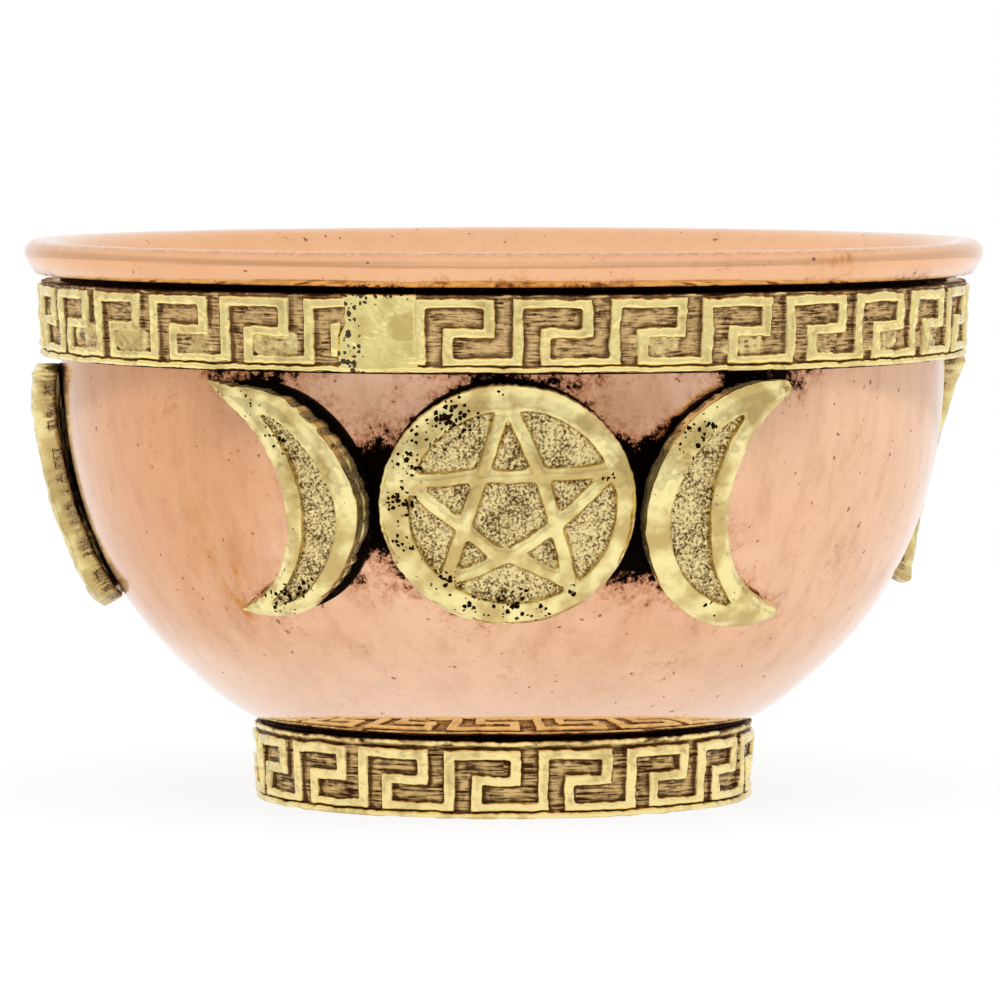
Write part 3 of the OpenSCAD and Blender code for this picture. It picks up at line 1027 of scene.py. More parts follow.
@dataclass
class KeyStrip:
    """A straight casting with a key along it, bent to a ring and brazed at its butt joint.

    Margin is the share of the key's relief that the ground above the key stands up. A flood is a
    pocket that filled in the mould: an angle round the bowl, a height up the strip, its reach
    along and up, and the share of the relief that it fills. The remnants are bars left of the key
    that the joint cuts: left, right, low and high, from the last key's end. The face fades out
    to the back between the face_shares of the thickness.
    """

    node: str
    ledge: float
    joint_at: float
    pitch: float = 7.47 * MM
    key_height: float = 4.95 * MM
    upright: float = 0.85 * MM
    level_bar: float = 0.75 * MM
    gap: float = 1.3 * MM
    thickness: float = 1.25 * MM
    relief: float = 0.5 * MM
    lean: float = 0.3 * MM
    groove: float = 0.15 * MM
    butt: float = 0.6 * MM
    columns: int = 45
    rows: int = 40
    face_shares: Place = (-0.5, -0.1)
    unevenness: tuple = (
        Bumps(2.4 * MM, 0.34 * MM, "RGB_TO_XYZ", "face"),
        Bumps(0.6 * MM, 0.102 * MM, "RGB_TO_XYZ", "face"),
        Bumps(1.3 * MM, 0.12 * MM, "Z", "face"), Bumps(0.3 * MM, 0.06 * MM, "Z", "face"),
    )
    edge_width: float = 0.2 * MM
    pitting: float = 0.14
    margin: float = 0.45
    margin_edge: Place = mm(0.08, 0.3)
    floods: tuple = ()
    remnants: tuple = ()

    def __post_init__(self) -> None:
        """Read the strip's height and face from the frame and count its keys."""
        low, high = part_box(self.node)
        self.low_z, self.height = low.z, high.z - low.z
        self.face_radius = (high.x - low.x) / 2
        self.girth = 2 * math.pi * self.face_radius
        self.keys = round(self.girth / self.pitch) - 1
        self.joint_length = self.girth - self.keys * self.pitch
        self.key_foot = self.ledge + self.groove
        self.key_top = self.ledge + self.key_height

    def bars(self) -> Bars:
        """List the bars of one key as left, right, low and high, from its long upright's left."""
        inner_left = self.upright + self.gap
        inner_right = self.pitch - self.gap
        middle = self.ledge + (self.key_height - self.level_bar) / 2
        return [
            (0, self.pitch, 0, self.ledge),
            (0, self.upright, self.key_foot, self.key_top),
            (0, inner_right, self.key_top - self.level_bar, self.key_top),
            (inner_right - self.upright, inner_right, middle, self.key_top),
            (inner_left, inner_right, middle, middle + self.level_bar),
            (inner_left, inner_left + self.upright, self.key_foot, middle + self.level_bar),
            (inner_left, self.pitch, self.key_foot, self.ledge + self.level_bar),
        ]

    def sheet(self, left: float, right: float) -> Piece:
        """Lay down a plain stretch of the strip, flat, between two places along it."""
        columns = max(2, round(self.columns * (right - left) / self.pitch))
        return grid(left, right, self.height, columns, self.rows)

    def raise_bars(self, piece: Piece, bars: Bars) -> None:
        """Raise the faces that lie within some bars by the key's relief."""

        def on_bar(middle: Vector) -> bool:
            """Tell whether a face's middle lies on a bar."""
            return any(b[0] < middle.x < b[1] and b[2] < middle.y < b[3] for b in bars)

        with bench(piece):
            pick(piece, "FACE", on_bar)
            push_out((0, 0, self.relief))

    def open_side(self, piece: Piece, across: float, below: float) -> None:
        """Take away the walls that would lie inside the strip where two stretches meet.

        Args:
            piece: One of the stretches.
            across: The place along the strip where they meet.
            below: The height up the strip below which both are raised there.
        """
        with bench(piece):
            pick(
                piece, "FACE",
                lambda middle: abs(middle.x - across) < WELD and middle.z > WELD and middle.y < below,
            )
            bpy.ops.mesh.delete(type="FACE")

    def run(self) -> Piece:
        """Model one key, repeat it and add the strip's two plain ends.

        Returns:
            The strip's face, flat, from one side of the butt joint to the other.
        """
        key = self.sheet(0, self.pitch)
        self.raise_bars(key, self.bars())
        shared = self.ledge + self.level_bar
        self.open_side(key, 0, shared)
        self.open_side(key, self.pitch, self.height)
        finish_modifier(
            key, "ARRAY", count=self.keys, use_relative_offset=False, use_constant_offset=True,
            constant_offset_displace=(self.pitch, 0, 0), use_merge_vertices=False,
        )
        half = (self.joint_length - self.butt) / 2
        length = self.keys * self.pitch
        start = self.sheet(self.upright / 2 - half, 0)
        end = self.sheet(length, length + self.upright / 2 + half)
        ledge = (-self.girth, 2 * self.girth, 0, self.ledge)
        stub = (-self.level_bar, 0, self.key_foot, shared)
        last = (0, self.upright, self.key_foot, self.key_top)
        self.raise_bars(start, [ledge, stub])
        self.open_side(start, 0, self.height)
        self.raise_bars(end, [ledge] + [
            (length + left, length + right, low, high)
            for left, right, low, high in (last, *self.remnants)
        ])
        self.open_side(end, length, shared)
        return join([key, start, end])

    def along(self, angle: float) -> float:
        """Find the place along the flat strip of an angle in degrees round the bowl."""
        turn = (angle - self.joint_at) % 360
        return math.radians(turn) * self.face_radius + (self.upright - self.joint_length) / 2

    def flood(self, points: Rows) -> None:
        """Raise the ground of the top margin and of the pockets that filled in the mould."""
        front = points[:, 2] > self.face_shares[1] * self.thickness
        above = points[:, 1] - self.key_top
        edge = smooth_step(above, *self.margin_edge) * self.margin * self.relief
        top = front & (above > 0.02 * MM)
        points[top, 2] = np.maximum(points[top, 2], edge[top])
        for angle, up, reach_along, reach_up, level in self.floods:
            across = (points[:, 0] - self.along(angle)) / reach_along
            height = (points[:, 1] - up) / reach_up
            filled = (1 - smooth_step(across ** 4 + height ** 4, 0.5, 1.6)) * level * self.relief
            points[front, 2] = np.maximum(points[front, 2], filled[front])

    def bend(self, points: Rows) -> Rows:
        """Bend flat points round the ring.

        Args:
            points: Rows along the strip, up it, and out from the plain face.

        Returns:
            The bent rows.
        """
        along = points[:, 0] - self.upright / 2 + self.joint_length / 2
        angle = math.radians(self.joint_at) + along / self.face_radius
        leaning = self.lean * (1 - points[:, 1] / self.height)
        radius = self.face_radius - self.relief - leaning + points[:, 2]
        return np.column_stack((
            radius * np.sin(angle), -radius * np.cos(angle), self.low_z + points[:, 1]
        ))

    def model(self) -> Piece:
        """Make the finished, closed ring."""
        piece = self.run()
        weld(piece)
        thicken(piece, self.thickness)
        points = points_of(piece)
        self.flood(points)
        put_points(piece, points)
        low, high = (share * self.thickness for share in self.face_shares)
        limit(piece, "face", smooth_step(points[:, 2], low, high))
        finish_modifier(piece, "SMOOTH", factor=0.5, iterations=2, vertex_group="face")
        roughen(piece, self.unevenness)
        points = points_of(piece)
        up, out = points[:, 1], points[:, 2]
        raised = np.clip(out / self.relief, 0, 1.2)
        # The strip's upper and lower edges are bare metal, though they lie below the relief.
        at_edge = np.minimum(up, self.height - up) < self.edge_width
        edges = at_edge & (out < -0.06 * self.thickness)
        raised[edges] = 1.0
        note(piece, "ridge", np.clip(raised, 0, 1))
        note(piece, "nook", np.clip(blurred(piece, raised, 7) - raised, -1, 1))
        note(piece, "pitting", np.full(len(points), self.pitting))
        put_points(piece, self.bend(points))
        keep_within(piece, self.node)
        shade(piece)
        return piece


@dataclass
class BrazeFlood:
    """Braze that ran over a strip's butt joint and froze with a ragged edge on the left.

    Left and right are its ends from the joint's middle. The facet is a smooth patch on it: left
    and right from the joint's middle, low and high up the strip.
    """

    node: str
    strip: KeyStrip
    left: float
    right: float
    level: float = 1.06
    sunk: float = 0.3
    cell: float = 0.14 * MM
    ragged: float = 0.5 * MM
    knots: Place = mm(1.3, 0.45)
    edge_fade: float = 0.4 * MM
    rim_fade: float = 0.3 * MM
    facet: tuple[float, float, float, float] = (0.0, 0.0, 0.0, 0.0)
    facet_fade: float = 0.8 * MM
    unevenness: tuple = (
        Bumps(2.2 * MM, 0.35 * MM, "Z", "face"), Bumps(0.5 * MM, 0.10 * MM, "Z", "face", Noise.HARD),
    )
    pitted_heights: Place = mm(4.6, 5.6)
    seed: int = 7

    def relief(self, along: Rows, up: Rows) -> Rows:
        """Work out how far the flood stands up at places along from its middle and up the strip."""
        strip = self.strip
        edge = np.minimum(along - self.left, self.right - along)
        rim = np.minimum(up, strip.height - up)
        chance = np.random.default_rng(self.seed)
        waves = np.zeros(len(along))
        for knot in self.knots:
            knots = np.arange(0, strip.height + 2 * knot, knot)
            waves += np.interp(up, knots, chance.uniform(-1, 1, len(knots))) * knot / MM
        inner = edge + self.ragged * np.where(along < 0, waves - 1, 0.1 * waves)
        cover = smooth_step(inner, 0.0, self.edge_fade)
        rounded = 0.25 * (1 - smooth_step(rim, 0.0, self.rim_fade))
        return strip.relief * (cover * (self.level + self.sunk - rounded) - self.sunk)

    def faceted(self, along: Rows, up: Rows) -> Rows:
        """Work out how much of the smooth patch lies at places along and up."""
        left, right, low, high = self.facet
        soft = self.facet_fade
        across = smooth_step(along, left, left + 2 * soft) * (1 - smooth_step(along, right - soft, right))
        return across * smooth_step(up, low, low + soft) * (1 - smooth_step(up, high - soft, high))

    def model(self) -> Piece:
        """Make the closed flood, in place over the joint."""
        strip = self.strip
        middle = (strip.upright - strip.joint_length) / 2
        length = self.right - self.left
        piece = grid(
            middle + self.left, middle + self.right, strip.height,
            round(length / self.cell), round(strip.height / self.cell),
        )
        points = points_of(piece)
        points[:, 2] = self.relief(points[:, 0] - middle, points[:, 1])
        put_points(piece, points)
        thicken(piece, strip.thickness)
        points = points_of(piece)
        limit(piece, "face", smooth_step(points[:, 2], -0.5 * strip.relief, 0.5 * strip.relief))
        roughen(piece, self.unevenness)
        along, up = points[:, 0] - middle, points[:, 1]
        facet = self.faceted(along, up)
        on_left = 1 - smooth_step((along - self.left) / length, 0.15, 0.6)
        pocked = 0.15 + 0.6 * on_left + 0.45 * smooth_step(up, *self.pitted_heights)
        note(piece, "facet", facet)
        note(piece, "pitting", np.clip(pocked - facet, 0.05, 1))
        put_points(piece, strip.bend(points_of(piece)))
        keep_within(piece, strip.node)
        shade(piece)
        return piece


# The castings


@dataclass
class Zones:
    """Where the parts of a flat casting lie, each as a share for every point.

    Inside is how far a point lies inside the outline, and marks is how strong the file mark is
    that crosses the edge there.
    """

    inside: Rows
    marks: Rows
    upper: Rows
    wall: Rows
    low_wall: Rows
    field: Rows


@dataclass
class Casting:
    """A small casting bent to the wall and soldered on.

    It is made flat, then turned and tilted against the bowl, whose wall there is near a sphere.
    Its back stands off by bow at mid height. The edge on the right is filed back by batter at
    the top, and file marks reach up the edge to the share marked of its height. A pit cluster or
    a crumple is a place across and up in millimetres, its reach, and its strength. The field
    fades out upwards from the first to the second height of fade, and downwards from the third
    to the fourth, in millimetres. The face begins between the upper_shares of the floor's height,
    the field ends between the sunk_shares of its depth, and the low part of the wall ends between
    the low_shares of the thickness.
    """

    node: str
    at: float
    turn: float = 0.0
    tilt: float = 15.0
    thickness: float = 2.05 * MM
    depth: float = 0.6 * MM
    sphere_z: float = 34.3 * MM
    face_sphere: float = 37.55 * MM
    voxel: float = 0.125 * MM
    swell: float = 0.18 * MM
    crown: float = 0.3 * MM
    crown_width: float = 0.8 * MM
    stroke: float = 0.3 * MM
    stroke_depth: float = 0.2 * MM
    marked: float = 0.7
    pivot: Place = (0.0, 0.0)
    bow: float = 0.0
    bow_reach: float = 9.5 * MM
    batter: float = 0.0
    batter_width: float = 2.2 * MM
    batter_side: Place = mm(3.6, 5.4)
    wall_edge: Place = mm(0.1, 0.4)
    field_edge: Place = mm(0.5, 1.0)
    upper_shares: Place = (0.5, 0.8)
    sunk_shares: Place = (0.15, 0.6)
    low_shares: Place = (0.78, 0.93)
    fade_drop: float = 0.05 * MM
    # Where a painted highlight runs inside the outline, and its width.
    edge_highlight_line: Place = mm(0.15, 0.22)
    unevenness: tuple = (
        Bumps(3 * MM, 0.25 * MM, "RGB_TO_XYZ"), Bumps(2.2 * MM, 0.34 * MM, "Z", "face"),
        Bumps(0.9 * MM, 0.12 * MM, "Z", "face"),
        Bumps(0.8 * MM, 0.9 * MM, "Z", "crumple", Noise.HARD),
        Bumps(0.3 * MM, 0.42 * MM, "Z", "field", Noise.HARD),
    )
    pitting: float = 0.14
    pits: tuple = ()
    crumples: tuple = ()
    fade: tuple = (20.0, 21.0, -20.0, -21.0)

    def __post_init__(self) -> None:
        """Work out the casting's own axes and the radius where file marks have their width."""
        at, tilt, turn = (math.radians(v) for v in (self.at, self.tilt, self.turn))
        flat = Vector((math.sin(at), -math.cos(at), 0))
        right = Vector((math.cos(at), math.sin(at), 0))
        self.out = flat * math.cos(tilt) - Vector((0, 0, math.sin(tilt)))
        up = flat * math.sin(tilt) + Vector((0, 0, math.cos(tilt)))
        self.right = right * math.cos(turn) + up * math.sin(turn)
        self.up = up * math.cos(turn) - right * math.sin(turn)
        self.filed_radius = self.face_sphere

    def outline(self, flat: Rows) -> Rows:
        """Measure how far flat points lie outside the casting's outline."""
        raise NotImplementedError

    def blank(self) -> Piece:
        """Model the casting flat, from z = 0 at its back, before it is weathered."""
        raise NotImplementedError

    def distance(self, points: Rows) -> Rows:
        """Measure how far points of the bowl lie outside the casting's outline.

        Args:
            points: Rows of x, y and z.

        Returns:
            The distances, negative under the casting.
        """
        from_centre = points - np.array((0, 0, self.sphere_z))
        length = np.maximum(np.linalg.norm(from_centre, axis=1), MM)
        scaled = from_centre * (self.face_sphere / length)[:, None]
        flat = np.column_stack((scaled @ np.array(self.right), scaled @ np.array(self.up)))
        far = self.outline(flat)
        far[scaled @ np.array(self.out) < 0] = 1.0
        return far

    def bend(self, points: Rows) -> Rows:
        """Bend flat points to the bowl's wall.

        Args:
            points: Rows across the casting, up it, and out from its back.

        Returns:
            The bent rows.
        """
        reach = np.sqrt(self.face_sphere ** 2 - points[:, 0] ** 2 - points[:, 1] ** 2)
        face = (
            np.outer(points[:, 0], self.right) + np.outer(points[:, 1], self.up)
            + np.outer(reach, self.out)
        )
        bowed = self.bow * np.clip(1 - (points[:, 1] / self.bow_reach) ** 2, 0, 1)
        radius = self.face_sphere - self.thickness + points[:, 2] + bowed
        return face * (radius / self.face_sphere)[:, None] + np.array((0, 0, self.sphere_z))

    def file_marks(self, points: Rows) -> Rows:
        """Give each point the strength of the file mark that crosses the edge there."""
        count = round(2 * math.pi * self.filed_radius / self.stroke)
        marks = np.random.default_rng(round(abs(self.at) * 10)).random(count)
        turn = np.arctan2(points[:, 1] - self.pivot[1], points[:, 0] - self.pivot[0])
        where = turn / (2 * math.pi) % 1 * count
        return np.interp(where, np.arange(count + 1), np.append(marks, marks[0]))

    def cluster(self, points: Rows, spots: tuple, base: float) -> Rows:
        """Add up clusters at some places over a base amount, up to 1."""
        amount = np.full(len(points), base)
        for across, up, reach, strength in spots:
            off = np.hypot(points[:, 0] - across * MM, points[:, 1] - up * MM)
            amount += strength * np.exp(-((off / (reach * MM)) ** 2))
        return np.clip(amount, 0, 1)

    def leaning(self, points: Rows, inside: Rows) -> Rows:
        """Work out how far each point of the edge on the right is filed back.

        Args:
            points: Rows of the flat casting.
            inside: How far each lies inside the outline.

        Returns:
            The distances, which grow with the height and end at batter_width inside the edge.
        """
        near = 1 - smooth_step(inside, 0.0, self.batter_width)
        side = smooth_step(points[:, 0], *self.batter_side)
        return self.batter * near * side * np.clip(points[:, 2] / self.thickness, 0, 1)

    def faded(self, heights: Rows) -> Rows:
        """Work out how far the field has faded out at some heights on the casting."""
        top_low, top_high, end_high, end_low = (height * MM for height in self.fade)
        return np.maximum(
            smooth_step(heights, top_low, top_high), 1 - smooth_step(heights, end_low, end_high)
        )

    def zones(self, points: Rows) -> Zones:
        """Find the face, the field and the outer wall of the flat casting from its points."""
        out, floor = points[:, 2], self.thickness - self.depth
        inside = -self.outline(points[:, :2])
        upper = smooth_step(out, *(share * floor for share in self.upper_shares))
        sunk = 1 - smooth_step(out, *(floor + share * self.depth for share in self.sunk_shares))
        wall = 1 - smooth_step(inside, *self.wall_edge)
        low = 1 - smooth_step(out, *(share * self.thickness for share in self.low_shares))
        hollow = upper * sunk * smooth_step(inside, *self.field_edge)
        return Zones(inside, self.file_marks(points), upper, wall, wall * low, hollow)

    def weather(self, piece: Piece, zones: Zones) -> Rows:
        """File the edge, fade the field out, round the rim and roughen the casting.

        Args:
            piece: The smoothed casting.
            zones: Its zones.

        Returns:
            Its points before they were roughened.
        """
        points = points_of(piece)
        deep = 1 - smooth_step(points[:, 2], 0.3 * self.thickness, self.thickness)
        filed = self.stroke_depth * (zones.marks - 0.6) * zones.wall * (0.3 + 0.7 * deep)
        points += normals_of(piece) * filed[:, None]
        points[:, 0] -= self.leaning(points, zones.inside)
        lift = 0.75 * np.clip(self.thickness - self.fade_drop - points[:, 2], 0, None)
        points[:, 2] += zones.upper * self.faded(points[:, 1]) * lift
        crown = self.crown * (1 - smooth_step(zones.inside, 0.0, self.crown_width)) ** 2
        points[:, 2] -= zones.upper * crown
        put_points(piece, points)
        limit(piece, "field", zones.field)
        limit(piece, "face", zones.upper)
        limit(piece, "crumple", self.cluster(points, self.crumples, 0.0) * zones.upper)
        roughen(piece, self.unevenness)
        return points

    def describe(self, piece: Piece, zones: Zones, points: Rows) -> None:
        """Store the walls, ridges, nooks and pits for the finish to read, with a painted highlight along
        the face's outer edge and painted shade low down beside the copper.

        Args:
            piece: The roughened casting.
            zones: Its zones.
            points: Its points before they were roughened.
        """
        heights, floor = points_of(piece)[:, 2], self.thickness - self.depth
        wall, low_wall = zones.wall, zones.low_wall
        raised = wall + (1 - wall) * np.clip((heights - floor) / self.depth, 0, 1.2)
        # Painted shade: the casting is drawn darker low down, where it meets the copper.
        shade_near_copper = 0.4 * (1 - smooth_step(heights, 0.0, 0.4 * floor))
        # Painted highlight: a thin line just inside the face's outer edge is drawn brighter.
        line, width = self.edge_highlight_line
        rubbed = 0.3 * np.exp(-(((zones.inside - line) / width) ** 2)) * zones.upper
        nook = np.clip(blurred(piece, raised, 10) - raised - rubbed, -1, 1)
        top_mark = self.marked * self.thickness
        marked = 1 - smooth_step(points[:, 2], top_mark - 0.5 * self.thickness, top_mark)
        scored = low_wall * marked * (1 - zones.marks)
        ridge = (1 - zones.field) * (1 - low_wall) + low_wall * (0.95 - 1.1 * scored)
        note(piece, "wall", low_wall)
        note(piece, "ridge", ridge)
        note(piece, "nook", np.maximum(np.maximum(nook, shade_near_copper), 0.5 * scored))
        note(piece, "pitting", self.cluster(points, self.pits, self.pitting))

    def model(self) -> Piece:
        """Make the finished, closed casting, in place."""
        piece = self.blank()
        finish_modifier(piece, "REMESH", mode="VOXEL", voxel_size=self.voxel)
        finish_modifier(piece, "SMOOTH", factor=0.5, iterations=12)
        zones = self.zones(points_of(piece))
        self.describe(piece, zones, self.weather(piece, zones))
        put_points(piece, self.bend(points_of(piece)))
        shade(piece)
        return piece


def star(reach: float) -> tuple:
    """List the five straight ridges of a star whose points lie at a reach."""
    points = [
        (reach * math.cos(math.radians(90 + 72 * point)), reach * math.sin(math.radians(90 + 72 * point)))
        for point in range(7)
    ]
    return tuple((points[first], points[first + 2]) for first in range(5))


@dataclass
class PentacleDisc(Casting):
    """A disc with a five-pointed star within a border.

    Each of the star's ridges is a line of places across and up, in millimetres.
    """

    radius: float = 9.74 * MM
    field_radius: float = 8.1 * MM
    field_shift: Place = (0.2 * MM, 0.0)
    ridge: float = 1.25 * MM
    ridge_drop: float = 0.06 * MM
    rounding: float = 0.3 * MM
    squash: float = 0.973
    rise: float = 0.25 * MM
    ridges: tuple = star(8.0)

    def __post_init__(self) -> None:
        """Work out the casting's own axes."""
        super().__post_init__()
        self.filed_radius = self.radius

    def outline(self, flat: Rows) -> Rows:
        """Measure how far flat points lie outside the disc."""
        return np.hypot(flat[:, 0], (flat[:, 1] - self.rise) / self.squash) - self.radius

    def bar(self, start: Place, end: Place) -> Piece:
        """Model one stretch of a ridge between two places given in millimetres.

        Returns:
            A bar with its upper edges rounded.
        """
        first, second = Vector((*start, 0)) * MM, Vector((*end, 0)) * MM
        tall = self.thickness - self.ridge_drop
        bpy.ops.mesh.primitive_cube_add(size=1)
        piece = bpy.context.object
        along = second - first
        piece.scale = (along.length + 0.75 * self.ridge, self.ridge, tall)
        piece.rotation_euler = (0, 0, math.atan2(along.y, along.x))
        piece.location = (first + second) / 2 + Vector((0, 0, tall / 2))
        settle(piece)
        with bench(piece):
            pick(piece, "EDGE", lambda a, b: min(a.z, b.z) > tall - WELD)
            bpy.ops.mesh.bevel(offset=0.36 * self.ridge, segments=3, affect="EDGES")
        return piece

    def blank(self) -> Piece:
        """Model the disc: a floor, a raised border and five crossing ridges."""
        floor = self.thickness - self.depth
        edge = self.radius + self.swell

        def on_rim(first: Vector, second: Vector) -> bool:
            """Tell whether an edge runs along the border's outer corner."""
            lengths = (first.xy.length, second.xy.length)
            return (
                min(first.z, second.z) > self.thickness - WELD
                and min(lengths) > edge - 0.1 * MM and abs(lengths[0] - lengths[1]) < WELD
            )

        disc = cylinder(edge, (0, 0), 0.0, floor)
        with bench(disc):
            pick(disc, "FACE", lambda middle: middle.z > floor - WELD)
            bpy.ops.mesh.inset(thickness=edge - self.field_radius)
            bpy.ops.transform.translate(value=(*self.field_shift, 0))
            pick(disc, "FACE", lambda middle: middle.z > floor - WELD and middle.xy.length > MM)
            push_out((0, 0, self.depth))
            pick(disc, "EDGE", on_rim)
            bpy.ops.mesh.bevel(offset=self.rounding, segments=3, affect="EDGES")
        points = points_of(disc)
        points[:, 1] = points[:, 1] * self.squash + self.rise
        put_points(disc, points)
        return join([disc] + [
            self.bar(start, end) for line in self.ridges for start, end in zip(line, line[1:])
        ])


@dataclass
class Crescent(Casting):
    """A crescent with a border left round its stippled field.

    The middles of its two circles are given across and up from the casting's middle, and slip
    is how far the field's own circles lie from them. The horns are cut off at horn_end past the
    convex circle's middle, horn_lean off upright, and the upper one is moved by horn_pull.
    """

    convex: Place = (0.0, 0.0)
    convex_radius: float = 9.4 * MM
    hollow: Place = (-6.35 * MM, 0.0)
    hollow_radius: float = 9.65 * MM
    convex_border: float = 1.6 * MM
    hollow_border: float = 1.3 * MM
    convex_slip: Place = (0.0, 0.0)
    hollow_slip: Place = (0.0, 0.0)
    horn_end: float = 2.4 * MM
    horn_lean: float = 0.0
    horn_pull: Place = (0.0, 0.0)
    nose: float = 0.0

    def __post_init__(self) -> None:
        """Work out the casting's own axes and which way its horns point."""
        super().__post_init__()
        self.pivot, self.filed_radius = self.hollow, self.hollow_radius
        self.side = math.copysign(1.0, self.convex[0] - self.hollow[0])

    def outline(self, flat: Rows) -> Rows:
        """Measure how far flat points lie outside the crescent."""
        out = np.hypot(flat[:, 0] - self.convex[0], flat[:, 1] - self.convex[1])
        hollow = np.hypot(flat[:, 0] - self.hollow[0], flat[:, 1] - self.hollow[1])
        return np.maximum(out - self.convex_radius, self.hollow_radius - hollow)

    def moon(
        self, convex_in: float, hollow_in: float, low: float, high: float, slipped: bool = False
    ) -> Piece:
        """Cut one crescent-shaped slab with both of its edges drawn in.

        Args:
            convex_in: How far the convex edge is drawn in.
            hollow_in: How far the concave edge is drawn in.
            low: The slab's underside.
            high: Its top.
            slipped: Whether the two circles have the field's own middles.

        Returns:
            The slab.
        """
        convex, hollow = np.array(self.convex), np.array(self.hollow)
        if slipped:
            convex, hollow = convex + self.convex_slip, hollow + self.hollow_slip
        deep = 2 * self.thickness
        cutter = cylinder(self.hollow_radius + hollow_in, hollow, -deep, deep)
        slab = cylinder(self.convex_radius - convex_in, convex, low, high)
        cut(slab, cutter)
        with bench(slab):
            bpy.ops.mesh.select_all(action="SELECT")
            bpy.ops.mesh.bisect(
                plane_co=(self.convex[0] - self.side * (self.horn_end - 0.5 * convex_in), 0, 0),
                plane_no=(-self.side, -self.side * self.horn_lean, 0), use_fill=True,
                clear_outer=True,
            )
        return slab

    def blank(self) -> Piece:
        """Model the crescent: a full slab with its field cut in."""
        slab = self.moon(-self.swell, -self.swell, 0.0, self.thickness)
        floor = self.thickness - self.depth
        cut(slab, self.moon(
            self.convex_border, self.hollow_border, floor, 2 * self.thickness, slipped=True
        ))
        points = points_of(slab)
        up = (points[:, 1] - self.convex[1]) / self.convex_radius
        across = self.side * (points[:, 0] - self.convex[0]) / self.convex_radius
        swollen = smooth_step(across, 0.4, 1.0) * np.exp(-((2 * up) ** 2))
        points[:, 0] += self.side * self.nose * swollen
        tip = smooth_step(-across, 0.05, 0.34) * (up > 0)
        points[:, :2] += np.outer(tip, self.horn_pull)
        put_points(slab, points)
        return slab


# The scene


